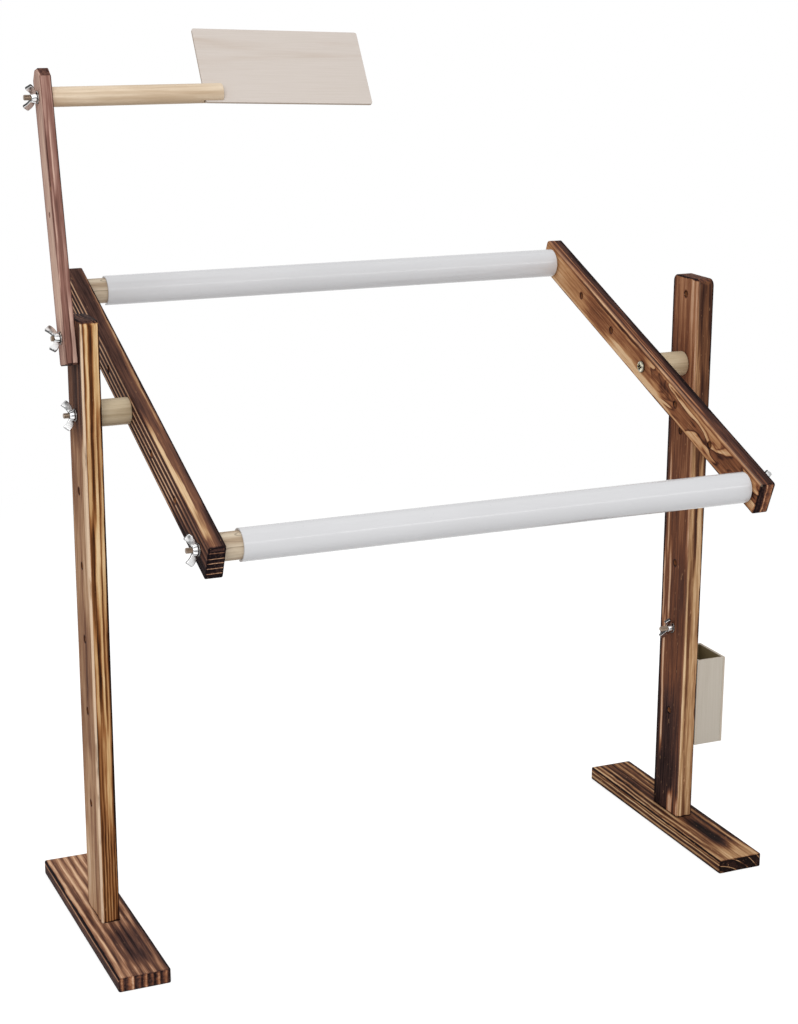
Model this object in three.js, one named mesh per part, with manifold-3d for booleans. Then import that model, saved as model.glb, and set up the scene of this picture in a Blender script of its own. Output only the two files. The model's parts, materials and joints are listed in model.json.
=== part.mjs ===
// Embroidery stand: two uprights on flat feet carry a tilting scroll frame, a pattern holder and a thread box.
// Millimetres. X runs from left to right, Y from front to back and Z up. The floor is Z = 0.

import * as THREE from "three";
import { mergeVertices } from "three/addons/utils/BufferGeometryUtils.js";
import Module from "manifold-3d";

const wasm = await Module();
wasm.setup();

// Clearances
const gap = 0.3; // between pieces that turn on or clamp each other
const cutOver = 1; // how far a cutting tool stands out of the wood it cuts

// Holes and where they sit
const holePitch = 80; // spacing of the holes in posts and side bars
const boltHole = 8; // diameter of every bolt hole in the wood
const boxHoleHeight = 250; // floor to the hole that carries the thread box
const pivotHoleStep = 4; // holes from the thread box up to the frame pivot
const topHoleStep = 5; // holes from the thread box up to the pattern arm
const lowHoleHeight = 145; // floor to the lowest hole

// Feet
const footLength = 308;
const footWidth = 56;
const footThickness = 16;
const footCorner = 2.5;

// Posts
const postWidth = 56; // front to back
const postThickness = 20;
const postEndMargin = 20; // top hole to the top of the post
const postTopRadius = 8;

// Wood screws through the feet into the posts
const screwSpacing = 30;
const screwHead = 8.6;
const screwShank = 4.2;
const screwHeadDepth = 2.4;
const screwPointLength = 5;
const screwRecess = 0.8;
const screwLength = 50;

// Scroll frame
const frameTilt = 21.6; // degrees that the rear end stands up
const barSpan = 586; // clear width between the two side bars
const barThickness = 18;
const barWidth = 38;
const barHoleSteps = 3; // holes from the pivot to each roller
const barEndMargin = 24; // roller hole to the end of the side bar
const barFrontRadius = 3;
const barRearRadius = 5;

// Spacers between posts and side bars
const spacerDiameter = 28;
const spacerLength = 35.4;
const spacerEdge = 2;

// Rollers and their fabric sleeves
const rollerDiameter = 28;
const rollerEdge = 1;
const sleeveWall = 2.2;
const sleeveMouth = 70; // degrees that the sleeve is open
const sleeveMouthTurn = 30; // degrees that the opening looks behind straight down
const sleeveLeftBare = 21.5; // bare roller left of the sleeve
const sleeveRightBare = 2.5;
const studDepth = 30; // stud inside a roller or the pattern rod

// Pattern holder
const armWidth = 30;
const armThickness = 12;
const armHoleSpacing = 240;
const armMiddleHole = 123; // arm bolt to the small hole
const armMiddleHoleDiameter = 5;
const armEndMargin = 28; // past the hole at each end
const armTopChamfer = 9;
const armFootRadius = 2;
const armLean = 12.9; // degrees behind the vertical
const rodDiameter = 20;
const rodLength = 180;
const rodEdge = 0.8;
const boardWidth = 183.6;
const boardAboveRod = 79.4;
const boardBelowRod = 11.3;
const boardThickness = 3;
const boardCorner = 3;
const boardLean = 37.9; // degrees behind the vertical
const boardDroop = 2.5; // degrees that the free end hangs in the board's own plane
const boardInset = 18.9; // board inside the rod's slot
const slotEndClearance = 2.1;

// Thread box
const boxWidth = 56; // front to back
const boxDepth = 37.7;
const boxHeight = 107;
const boxPlateHeight = 163;
const boxHoleFromTop = 20;
const boxTongueWidth = 40; // back plate above the rim
const boxTongueRadius = 8;
const plyThickness = 3;

// Bolts, studs, washers and wing nuts
const thread = 6;
const threadTip = 0.8;
const headDiameter = 14;
const headHeight = 4.2;
const recessWidth = 1.4;
const recessLength = 7;
const recessDepth = 2;
const washerDiameter = 13;
const washerHole = 6.8;
const washerThickness = 1.2;
const nutHubDiameter = 11.4;
const nutHubTop = 9.4;
const nutHubHeight = 7;
const wingSpan = 30;
const wingHeight = 11.6;
const wingThickness = 2.4;
const wingRootLow = 1.2;
const wingRootHigh = 5.6;
const wingTipLow = 8.4;
const wingTipSlant = 3.4;
const wingWaist = 2; // inner bend of a wing past the hub's top
const pivotPastNut = 4.2; // bolt end that shows past each wing nut
const armPastNut = 1.4;
const rodPastNut = 5.7;
const boxPastNut = 7.6;
const rollerPastNut = 4.5;

// Degrees that each wing nut is turned from upright, its top wing towards the back
const nutTurn = {
  leftPivot: 20, rightPivot: 0, arm: 45, rod: -35, box: -29,
  upperLeft: 8, upperRight: 70, lowerLeft: 12, lowerRight: 4,
};

// Facets
const holeSides = 16;
const boltSides = 16;
const washerSides = 20;
const roundSides = 32;
const cornerSteps = 3;
const wingSteps = 4;

// Levels and faces that follow from the sizes
const pivotHeight = boxHoleHeight + pivotHoleStep * holePitch;
const armHeight = boxHoleHeight + topHoleStep * holePitch;
const postTop = armHeight + postEndMargin;
const barInner = barSpan / 2;
const barOuter = barInner + barThickness;
const postInner = barOuter + spacerLength + 2 * gap;
const postOuter = postInner + postThickness;
const postMiddle = (postInner + postOuter) / 2;
const rollerSpacing = barHoleSteps * holePitch; // pivot to each roller
const barEnd = rollerSpacing + barEndMargin;
const washerStack = washerThickness + 2 * gap; // wood face to the seat of a wing nut
const nutStack = washerStack + nutHubHeight;

const radians = THREE.MathUtils.degToRad;

// Materials
function finish(colour, roughness, metalness) {
  return new THREE.MeshStandardMaterial({ color: colour, roughness, metalness });
}
const burntPine = finish(0x6b4632, 0.6, 0);
const palePine = finish(0xd3c2a6, 0.65, 0);
const birchPly = finish(0xded2c4, 0.7, 0);
const boxPly = finish(0xb7ab9e, 0.75, 0);
const whitePlastic = finish(0xe2e2e6, 0.35, 0);
const brightZinc = finish(0xb4b7bb, 0.3, 1);

// Solids
function solid(geometry) {
  const bare = geometry.clone();
  bare.deleteAttribute("normal");
  bare.deleteAttribute("uv");
  const merged = mergeVertices(bare, 1e-4);
  const corners = merged.index.array;
  const faces = [];
  for (let i = 0; i < corners.length; i += 3) {
    const [a, b, c] = [corners[i], corners[i + 1], corners[i + 2]];
    if (a !== b && b !== c && c !== a) {
      faces.push(a, b, c);
    }
  }
  const mesh = new wasm.Mesh({
    numProp: 3,
    vertProperties: new Float32Array(merged.attributes.position.array),
    triVerts: new Uint32Array(faces),
  });
  return new wasm.Manifold(mesh);
}

function surface(body) {
  const mesh = body.getMesh();
  const geometry = new THREE.BufferGeometry();
  geometry.setAttribute("position", new THREE.BufferAttribute(mesh.vertProperties, 3));
  geometry.setIndex(new THREE.BufferAttribute(mesh.triVerts, 1));
  geometry.computeVertexNormals();
  return geometry;
}

// A named piece in its place; body is a solid
function addPiece(parent, name, body, material) {
  const mesh = new THREE.Mesh(surface(body), material);
  mesh.name = name;
  parent.add(mesh);
  return mesh;
}

function addGroup(parent, x, y, z) {
  const group = new THREE.Group();
  group.position.set(x, y, z);
  parent.add(group);
  return group;
}

// A group whose own +X points to the left (side -1) or to the right (side 1)
function addFacing(parent, side, x, y, z) {
  const group = addGroup(parent, x, y, z);
  group.rotation.y = side < 0 ? Math.PI : 0;
  return group;
}

// A body turned round the X axis; the profile is a list of [radius, distance along X]
function turned(profile, sides) {
  const points = profile.map(([radius, along]) => new THREE.Vector2(radius, along));
  const geometry = new THREE.LatheGeometry(points, sides);
  geometry.rotateZ(-Math.PI / 2);
  return solid(geometry);
}

// An outline in the YZ plane pushed along X, from x = 0
const acrossX = new THREE.Matrix4().makeBasis(
  new THREE.Vector3(0, 1, 0),
  new THREE.Vector3(0, 0, 1),
  new THREE.Vector3(1, 0, 0),
);

// An outline in the XZ plane pushed along -Y, from y = 0
const acrossY = new THREE.Matrix4().makeBasis(
  new THREE.Vector3(1, 0, 0),
  new THREE.Vector3(0, 0, 1),
  new THREE.Vector3(0, -1, 0),
);

// An outline whose own x is the radius along Z and whose own y is the distance along X
const alongNut = new THREE.Matrix4().makeBasis(
  new THREE.Vector3(0, 0, 1),
  new THREE.Vector3(1, 0, 0),
  new THREE.Vector3(0, 1, 0),
);

function pushed(shape, depth, matrix, steps) {
  const geometry = new THREE.ExtrudeGeometry(shape, { depth, bevelEnabled: false, curveSegments: steps });
  return solid(matrix ? geometry.applyMatrix4(matrix) : geometry);
}

function box(x0, x1, y0, y1, z0, z1) {
  const geometry = new THREE.BoxGeometry(x1 - x0, y1 - y0, z1 - z0);
  geometry.translate((x0 + x1) / 2, (y0 + y1) / 2, (z0 + z1) / 2);
  return solid(geometry);
}

// A plank outline, centred across, with one radius at its low end and one at its high end
function plankShape(halfWidth, low, high, lowRadius, highRadius, steps = cornerSteps) {
  const points = [];
  function corner(x, y, radius, startAngle) {
    const count = radius > 0 ? steps : 0;
    for (let i = 0; i <= count; i += 1) {
      const angle = startAngle + (count > 0 ? (i / count) * (Math.PI / 2) : 0);
      points.push(new THREE.Vector2(x + radius * Math.cos(angle), y + radius * Math.sin(angle)));
    }
  }
  corner(halfWidth - highRadius, high - highRadius, highRadius, 0);
  corner(highRadius - halfWidth, high - highRadius, highRadius, Math.PI / 2);
  corner(lowRadius - halfWidth, low + lowRadius, lowRadius, Math.PI);
  corner(halfWidth - lowRadius, low + lowRadius, lowRadius, (3 * Math.PI) / 2);
  return new THREE.Shape(points);
}

function addHole(shape, along, diameter) {
  const points = [];
  for (let i = 0; i < holeSides; i += 1) {
    const angle = (-i / holeSides) * 2 * Math.PI;
    const reach = diameter / 2;
    points.push(new THREE.Vector2(reach * Math.cos(angle), along + reach * Math.sin(angle)));
  }
  shape.holes.push(new THREE.Path(points));
}

// Hardware, all along +X

// The bolt's seat under its head is at x = 0
function boltBody(length) {
  const head = headDiameter / 2;
  const shank = thread / 2;
  const body = turned([
    [0, -headHeight],
    [head * 0.55, -headHeight * 0.96],
    [head * 0.85, -headHeight * 0.72],
    [head, -headHeight * 0.3],
    [head, 0],
    [shank, 0],
    [shank, length - threadTip],
    [shank - threadTip, length],
    [0, length],
  ], boltSides);
  const top = -headHeight - cutOver;
  const floor = -headHeight + recessDepth;
  const upright = box(top, floor, -recessWidth / 2, recessWidth / 2, -recessLength / 2, recessLength / 2);
  const level = box(top, floor, -recessLength / 2, recessLength / 2, -recessWidth / 2, recessWidth / 2);
  return body.subtract(upright.add(level));
}

function studBody(inner, outer) {
  const shank = thread / 2;
  return turned([
    [0, inner],
    [shank - threadTip, inner],
    [shank, inner + threadTip],
    [shank, outer - threadTip],
    [shank - threadTip, outer],
    [0, outer],
  ], boltSides);
}

function washerBody() {
  return turned([
    [washerHole / 2, 0],
    [washerDiameter / 2, 0],
    [washerDiameter / 2, washerThickness],
    [washerHole / 2, washerThickness],
    [washerHole / 2, 0],
  ], washerSides);
}

function wingShape() {
  const tip = wingSpan / 2;
  const topInner = tip - wingTipSlant;
  const waist = nutHubTop / 2 + wingWaist;
  const shape = new THREE.Shape();
  shape.moveTo(0, wingRootLow);
  shape.quadraticCurveTo(tip * 0.6, wingRootLow, tip, wingTipLow);
  shape.lineTo(topInner, wingHeight);
  shape.quadraticCurveTo(waist, wingRootHigh, 0, wingRootHigh);
  shape.quadraticCurveTo(-waist, wingRootHigh, -topInner, wingHeight);
  shape.lineTo(-tip, wingTipLow);
  shape.quadraticCurveTo(-tip * 0.6, wingRootLow, 0, wingRootLow);
  return shape;
}

function wingNutBody() {
  const wings = pushed(wingShape(), wingThickness, alongNut, wingSteps).translate([0, -wingThickness / 2, 0]);
  const hub = turned([
    [0, 0],
    [nutHubDiameter / 2, 0],
    [nutHubTop / 2, nutHubHeight],
    [0, nutHubHeight],
  ], washerSides);
  const bore = turned([
    [0, -cutOver],
    [thread / 2 + gap, -cutOver],
    [thread / 2 + gap, nutHubHeight + cutOver],
    [0, nutHubHeight + cutOver],
  ], boltSides);
  return hub.add(wings).subtract(bore);
}

// A washer and a wing nut on a wood face; the group's +X leaves the face
function addWasher(facing, name) {
  addPiece(facing, name, washerBody().translate([gap, 0, 0]), brightZinc);
}

function addWingNut(facing, name, side, turn) {
  const nut = addPiece(facing, name, wingNutBody(), brightZinc);
  nut.position.x = washerStack;
  nut.rotation.x = -side * radians(turn);
}

// A wood screw along +X with its head's outer face at x = 0
function screwBody() {
  return turned([
    [0, 0],
    [screwHead / 2, 0],
    [screwShank / 2, screwHeadDepth],
    [screwShank / 2, screwLength - screwPointLength],
    [0, screwLength],
  ], boltSides);
}

function screwHole() {
  return turned([
    [0, -screwRecess - cutOver],
    [screwHead / 2 + gap, -screwRecess - cutOver],
    [screwHead / 2 + gap, 0],
    [screwShank / 2 + gap, screwHeadDepth],
    [screwShank / 2 + gap, screwLength + gap],
    [0, screwLength + gap],
  ], boltSides);
}

// Turns a body from +X up to +Z, and lifts it to the recess in the foot's underside
function stood(body, y) {
  return body.rotate([0, -90, 0]).translate([0, y, screwRecess]);
}

// Foot, post and their screws
function addStand(parent, side, label) {
  const stand = addGroup(parent, side * postMiddle, 0, 0);
  const screwPlaces = [["front", -screwSpacing / 2], ["rear", screwSpacing / 2]];
  const footShape = plankShape(footWidth / 2, -footLength / 2, footLength / 2, footCorner, footCorner);
  let foot = pushed(footShape, footThickness);

  const postShape = plankShape(postWidth / 2, footThickness, postTop, 0, postTopRadius);
  for (let step = 0; step <= topHoleStep; step += 1) {
    addHole(postShape, boxHoleHeight + step * holePitch, boltHole);
  }
  addHole(postShape, lowHoleHeight, boltHole);
  let post = pushed(postShape, postThickness, acrossX).translate([-postThickness / 2, 0, 0]);

  for (const [place, y] of screwPlaces) {
    foot = foot.subtract(stood(screwHole(), y));
    post = post.subtract(stood(screwHole(), y));
    addPiece(stand, `${label}_foot_${place}_screw`, stood(screwBody(), y), brightZinc);
  }
  addPiece(stand, `${label}_foot`, foot, burntPine);
  addPiece(stand, `${label}_post`, post, burntPine);
}

// Spacer, pivot bolt, washer and wing nut at the pivot on one side
function addPivot(parent, side, label, turn) {
  const facing = addFacing(parent, side, 0, 0, pivotHeight);
  const outer = spacerDiameter / 2;
  const bore = boltHole / 2;
  const start = barOuter + gap;
  const end = start + spacerLength;
  const spacer = turned([
    [bore, start],
    [outer - spacerEdge, start],
    [outer, start + spacerEdge],
    [outer, end - spacerEdge],
    [outer - spacerEdge, end],
    [bore, end],
    [bore, start],
  ], roundSides);
  addPiece(facing, `${label}_spacer`, spacer, palePine);

  const seat = barInner - gap;
  const length = postOuter + nutStack + pivotPastNut - seat;
  addPiece(facing, `${label}_pivot_bolt`, boltBody(length).translate([seat, 0, 0]), brightZinc);
  const outside = addGroup(facing, postOuter, 0, 0);
  addWasher(outside, `${label}_pivot_washer`);
  addWingNut(outside, `${label}_pivot_wing_nut`, side, turn);
}

// Side bar in the frame's own group, whose Z runs to the rear end
function addSideBar(frame, side, label) {
  const shape = plankShape(barWidth / 2, -barEnd, barEnd, barFrontRadius, barRearRadius);
  for (let step = -barHoleSteps; step <= barHoleSteps; step += 1) {
    addHole(shape, step * holePitch, boltHole);
  }
  const inner = side < 0 ? -barOuter : barInner;
  addPiece(frame, `${label}_side_bar`, pushed(shape, barThickness, acrossX).translate([inner, 0, 0]), burntPine);
}

function dowelBody(start, end, diameter, edge) {
  const outer = diameter / 2;
  return turned([
    [0, start],
    [outer - edge, start],
    [outer, start + edge],
    [outer, end - edge],
    [outer - edge, end],
    [0, end],
  ], roundSides);
}

// A bore for a stud, from x = end inwards; side tells which end
function studBore(end, side) {
  const bottom = -studDepth - gap;
  const hole = turned([
    [0, bottom],
    [thread / 2 + gap, bottom],
    [thread / 2 + gap, cutOver],
    [0, cutOver],
  ], boltSides);
  return (side < 0 ? hole.rotate([0, 180, 0]) : hole).translate([end, 0, 0]);
}

// The sleeve's section is a ring with a mouth; own x is along Y and own y along Z
function sleeveShape() {
  const inner = rollerDiameter / 2 + gap;
  const outer = inner + sleeveWall;
  const middle = radians(sleeveMouthTurn - frameTilt);
  const start = middle + radians(sleeveMouth / 2);
  const sweep = radians(360 - sleeveMouth);
  const steps = roundSides - 4;
  const points = [];
  for (let i = 0; i <= steps; i += 1) {
    const angle = start + (sweep * i) / steps;
    points.push(new THREE.Vector2(outer * Math.cos(angle), outer * Math.sin(angle)));
  }
  for (let i = steps; i >= 0; i -= 1) {
    const angle = start + (sweep * i) / steps;
    const reach = inner / Math.cos(sweep / steps / 2);
    points.push(new THREE.Vector2(reach * Math.cos(angle), reach * Math.sin(angle)));
  }
  return new THREE.Shape(points);
}

// Roller with its sleeve, studs, washers and wing nuts; along is its place on the side bars
function addRoller(frame, label, along, turns) {
  const roller = addGroup(frame, 0, 0, along);
  const end = barInner - gap;
  const dowel = dowelBody(-end, end, rollerDiameter, rollerEdge)
    .subtract(studBore(-end, -1))
    .subtract(studBore(end, 1));
  addPiece(roller, `${label}_roller_dowel`, dowel, palePine);

  const sleeveStart = -barInner + sleeveLeftBare;
  const sleeveEnd = barInner - sleeveRightBare;
  const sleeve = pushed(sleeveShape(), sleeveEnd - sleeveStart, acrossX).translate([sleeveStart, 0, 0]);
  addPiece(roller, `${label}_roller_sleeve`, sleeve, whitePlastic);

  for (const [side, word] of [[-1, "left"], [1, "right"]]) {
    const facing = addFacing(roller, side, 0, 0, 0);
    const tip = barOuter + nutStack + rollerPastNut;
    addPiece(facing, `${label}_roller_${word}_stud`, studBody(end - studDepth, tip), brightZinc);
    const outside = addGroup(facing, barOuter, 0, 0);
    addWasher(outside, `${label}_roller_${word}_washer`);
    addWingNut(outside, `${label}_roller_${word}_wing_nut`, side, turns[word]);
  }
}

function addScrollFrame(parent) {
  const fromUpright = 90 - frameTilt;
  const frame = addGroup(parent, 0, 0, pivotHeight);
  frame.rotation.x = -radians(fromUpright);
  addSideBar(frame, -1, "left");
  addSideBar(frame, 1, "right");
  addRoller(frame, "upper", rollerSpacing, {
    left: nutTurn.upperLeft - fromUpright,
    right: nutTurn.upperRight - fromUpright,
  });
  addRoller(frame, "lower", -rollerSpacing, {
    left: nutTurn.lowerLeft - fromUpright,
    right: nutTurn.lowerRight - fromUpright,
  });
}

// Arm bolt with its head inside the post
function addArmBolt(parent) {
  const facing = addFacing(parent, -1, 0, 0, armHeight);
  const seat = postInner - gap;
  const woodFace = postOuter + gap + armThickness;
  const length = woodFace + nutStack + armPastNut - seat;
  addPiece(facing, "arm_bolt", boltBody(length).translate([seat, 0, 0]), brightZinc);
  addWingNut(addGroup(facing, woodFace, 0, 0), "arm_wing_nut", -1, nutTurn.arm);
}

// Pattern arm with its rod and board, in a group that leans about the arm bolt
function addPatternHolder(parent) {
  const arm = addGroup(parent, 0, 0, armHeight);
  arm.rotation.x = -radians(armLean);
  const armInner = postOuter + gap;
  const armOuter = armInner + armThickness;
  const armTop = armHoleSpacing + armEndMargin;
  const shape = plankShape(armWidth / 2, -armEndMargin, armTop, armFootRadius, armTopChamfer, 1);
  addHole(shape, 0, boltHole);
  addHole(shape, armMiddleHole, armMiddleHoleDiameter);
  addHole(shape, armHoleSpacing, boltHole);
  addPiece(arm, "pattern_arm", pushed(shape, armThickness, acrossX).translate([-armOuter, 0, 0]), burntPine);
  addWasher(addFacing(arm, -1, -armOuter, 0, 0), "arm_washer");

  const rod = addGroup(arm, 0, 0, armHoleSpacing);
  rod.rotation.x = -radians(boardLean - armLean);
  const rodStart = gap - armInner;
  const rodEnd = rodStart + rodLength;
  const slotHalf = boardThickness / 2 + gap;
  const slotDepth = boardInset + slotEndClearance;
  const slotReach = rodDiameter / 2 + cutOver;
  const slot = box(rodEnd - slotDepth, rodEnd + cutOver, -slotHalf, slotHalf, -slotReach, slotReach);
  const dowel = dowelBody(rodStart, rodEnd, rodDiameter, rodEdge)
    .subtract(studBore(rodStart, -1))
    .subtract(slot);
  addPiece(rod, "pattern_rod", dowel, palePine);

  const facing = addFacing(rod, -1, -armOuter, 0, 0);
  const studInner = -armOuter - rodStart - studDepth;
  addPiece(facing, "rod_stud", studBody(studInner, nutStack + rodPastNut), brightZinc);
  addWasher(facing, "rod_washer");
  addWingNut(facing, "rod_wing_nut", -1, nutTurn.rod - boardLean);

  const board = addGroup(rod, rodEnd - boardInset, boardThickness / 2, 0);
  board.rotation.y = radians(boardDroop);
  const boardShape = plankShape(boardWidth / 2, -boardBelowRod, boardAboveRod, boardCorner, boardCorner);
  const plate = pushed(boardShape, boardThickness, acrossY).translate([boardWidth / 2, 0, 0]);
  addPiece(board, "pattern_board", plate, birchPly);
}

// The back plate is as wide as the box up to the rim, and a narrower tongue above it
function tonguedPlateShape(half, bottom, rim, top) {
  const tongue = boxTongueWidth / 2;
  const shape = new THREE.Shape();
  shape.moveTo(-half, bottom);
  shape.lineTo(half, bottom);
  shape.lineTo(half, rim);
  shape.lineTo(tongue, rim);
  shape.lineTo(tongue, top - boxTongueRadius);
  shape.absarc(tongue - boxTongueRadius, top - boxTongueRadius, boxTongueRadius, 0, Math.PI / 2);
  shape.absarc(boxTongueRadius - tongue, top - boxTongueRadius, boxTongueRadius, Math.PI / 2, Math.PI);
  shape.lineTo(-tongue, rim);
  shape.lineTo(-half, rim);
  return shape;
}

// Thread box on its back plate; the group's origin is the bolt hole on the post's outer face
function addThreadBox(parent) {
  const hanger = addGroup(parent, postOuter + gap, 0, boxHoleHeight);
  const half = boxWidth / 2;
  const plateTop = boxHoleFromTop;
  const bottom = plateTop - boxPlateHeight;
  const rim = bottom + boxHeight;
  const innerEnd = boxDepth - plyThickness;
  const plateShape = tonguedPlateShape(half, bottom, rim, plateTop);
  addHole(plateShape, 0, boltHole);
  addPiece(hanger, "box_back_plate", pushed(plateShape, plyThickness, acrossX, cornerSteps), boxPly);
  const panels = {
    box_outer_panel: [innerEnd, boxDepth, -half, half, bottom, rim],
    box_front_panel: [plyThickness, innerEnd, -half, plyThickness - half, bottom, rim],
    box_rear_panel: [plyThickness, innerEnd, half - plyThickness, half, bottom, rim],
    box_bottom: [plyThickness, innerEnd, plyThickness - half, half - plyThickness, bottom, bottom + plyThickness],
  };
  for (const [name, sides] of Object.entries(panels)) {
    addPiece(hanger, name, box(...sides), boxPly);
  }

  const seat = postOuter + 2 * gap + plyThickness;
  const facing = addFacing(parent, -1, seat, 0, boxHoleHeight);
  const woodFace = seat - postInner;
  const length = woodFace + nutStack + boxPastNut;
  addPiece(facing, "box_bolt", boltBody(length), brightZinc);
  const inside = addGroup(facing, woodFace, 0, 0);
  addWasher(inside, "box_washer");
  addWingNut(inside, "box_wing_nut", -1, nutTurn.box);
}

// The whole stand, with its origin on the floor under the middle of its bounding box
const assembly = new THREE.Group();
addStand(assembly, -1, "left");
addStand(assembly, 1, "right");
addPivot(assembly, -1, "left", nutTurn.leftPivot);
addPivot(assembly, 1, "right", nutTurn.rightPivot);
addScrollFrame(assembly);
addArmBolt(assembly);
addPatternHolder(assembly);
addThreadBox(assembly);

const stand = new THREE.Group();
stand.add(assembly);
stand.updateMatrixWorld(true);
const bounds = new THREE.Box3().setFromObject(stand, true);
const middle = bounds.getCenter(new THREE.Vector3());
assembly.position.set(-middle.x, -middle.y, -bounds.min.z);

export default stand;
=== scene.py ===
# Embroidery stand: the looks of every piece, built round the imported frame. Metres, +Z up, floor at Z = 0.

import json
from collections import namedtuple
from math import cos, hypot, pi, radians, sin

import bmesh
import bpy
from mathutils import Matrix, Vector, noise

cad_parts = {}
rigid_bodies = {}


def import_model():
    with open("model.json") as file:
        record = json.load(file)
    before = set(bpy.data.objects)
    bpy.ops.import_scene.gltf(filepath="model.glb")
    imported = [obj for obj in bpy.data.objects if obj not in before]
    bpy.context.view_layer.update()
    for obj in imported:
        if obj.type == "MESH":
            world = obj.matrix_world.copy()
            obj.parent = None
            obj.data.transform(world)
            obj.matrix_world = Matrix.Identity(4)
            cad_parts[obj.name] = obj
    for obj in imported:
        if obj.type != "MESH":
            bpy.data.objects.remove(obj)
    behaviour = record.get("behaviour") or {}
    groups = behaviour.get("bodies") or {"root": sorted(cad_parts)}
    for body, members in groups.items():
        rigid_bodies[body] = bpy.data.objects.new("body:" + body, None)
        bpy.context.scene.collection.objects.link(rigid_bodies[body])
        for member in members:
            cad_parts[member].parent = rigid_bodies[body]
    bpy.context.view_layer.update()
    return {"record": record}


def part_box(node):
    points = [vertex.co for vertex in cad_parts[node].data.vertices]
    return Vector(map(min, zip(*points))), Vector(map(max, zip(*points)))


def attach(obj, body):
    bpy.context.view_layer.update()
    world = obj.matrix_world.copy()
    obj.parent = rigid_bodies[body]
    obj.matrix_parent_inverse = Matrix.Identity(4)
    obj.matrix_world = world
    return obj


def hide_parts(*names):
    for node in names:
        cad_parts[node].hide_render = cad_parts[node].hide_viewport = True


for leftover in list(bpy.data.objects):
    bpy.data.objects.remove(leftover)
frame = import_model()

MM = 0.001
QUARTER = pi / 2
SIDES = {"left": -1, "right": 1}


# Places and sizes from the frame


def low(node):
    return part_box(node)[0]


def high(node):
    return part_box(node)[1]


def middle(node):
    return (low(node) + high(node)) / 2


def span(node, side=1):
    """Where a node starts on its way to a side along X, and its length."""
    start, end = (low(node).x, high(node).x)[::side]
    return start, abs(end - start)


def axis_point(name):
    joints = frame["record"]["behaviour"]["joints"]
    return Vector(next(joint["pos_m"] for joint in joints if joint["name"] == name))


GAP = 0.3 * MM
HOLE_PITCH = 80 * MM
HOLE_RADIUS = 3.3 * MM
FRAME_TILT = radians(21.6)
ARM_LEAN = radians(12.9)
BOARD_LEAN = radians(37.9)
BOARD_DROOP = radians(2.5)
PLY = 3 * MM

PIVOT = axis_point("frame_tilt")
ARM_PIVOT = axis_point("pattern_arm_swing")
ROD_AXIS = axis_point("pattern_board_tilt")
BOX_BOLT = axis_point("thread_box_swivel")
ROLLERS = {name: axis_point(f"{name}_roller_turn") for name in ("upper", "lower")}


# Camera and image, taken as 798 x 1024

IMAGE_HEIGHT = 1024
SENSOR = 36.0
FOCAL_PIXELS = 2052.16
CAMERA_AZIMUTH = radians(-23.55)
CAMERA_ELEVATION = radians(15.29)
CAMERA_ROLL = radians(0.21)
CAMERA_DISTANCE = 2.25972
CAMERA_TARGET = Vector((-8.51 * MM + PIVOT.x, PIVOT.y, 429.96 * MM))


def add_camera():
    data = bpy.data.cameras.new("camera")
    data.sensor_fit = "VERTICAL"
    data.sensor_width = data.sensor_height = SENSOR
    data.lens = FOCAL_PIXELS / IMAGE_HEIGHT * SENSOR
    data.clip_start = 0.05
    data.clip_end = 300
    a, e = CAMERA_AZIMUTH, CAMERA_ELEVATION
    back = Vector((sin(a) * cos(e), -cos(a) * cos(e), sin(e)))
    right = Vector((cos(a), sin(a), 0))
    up = back.cross(right)
    c, s = cos(CAMERA_ROLL), sin(CAMERA_ROLL)
    place = Matrix((right * c + up * s, up * c - right * s, back)).transposed().to_4x4()
    place.translation = CAMERA_TARGET + back * CAMERA_DISTANCE
    bpy.context.scene.camera = new_object("camera", data, place)


# Node materials


def srgb(red, green, blue):
    def linear(value):
        value /= 255
        return value / 12.92 if value <= 0.04045 else ((value + 0.055) / 1.055) ** 2.4

    return (linear(red), linear(green), linear(blue), 1.0)


class Value:
    """A socket of a node graph; arithmetic with it adds math nodes."""

    def __init__(self, graph, socket):
        self.graph = graph
        self.socket = socket

    def math(self, operation, *others, clamp=False):
        return self.graph.math(operation, self, *others, clamp=clamp)

    def step(self, start, end, first=0.0, last=1.0):
        """A smooth step from first to last, as the value goes from start to end."""
        inputs = enumerate((self, start, end, first, last))
        return self.graph.node("MapRange", inputs, interpolation_type="SMOOTHSTEP")

    def __add__(self, other):
        return self.math("ADD", other)

    def __sub__(self, other):
        return self.math("SUBTRACT", other)

    def __rsub__(self, other):
        return self.graph.math("SUBTRACT", other, self)

    def __mul__(self, other):
        return self.math("MULTIPLY", other)

    def __truediv__(self, other):
        return self.math("DIVIDE", other)

    def __abs__(self):
        return self.math("ABSOLUTE")


def distance(x, y):
    return (x * x + y * y).math("SQRT")


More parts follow.
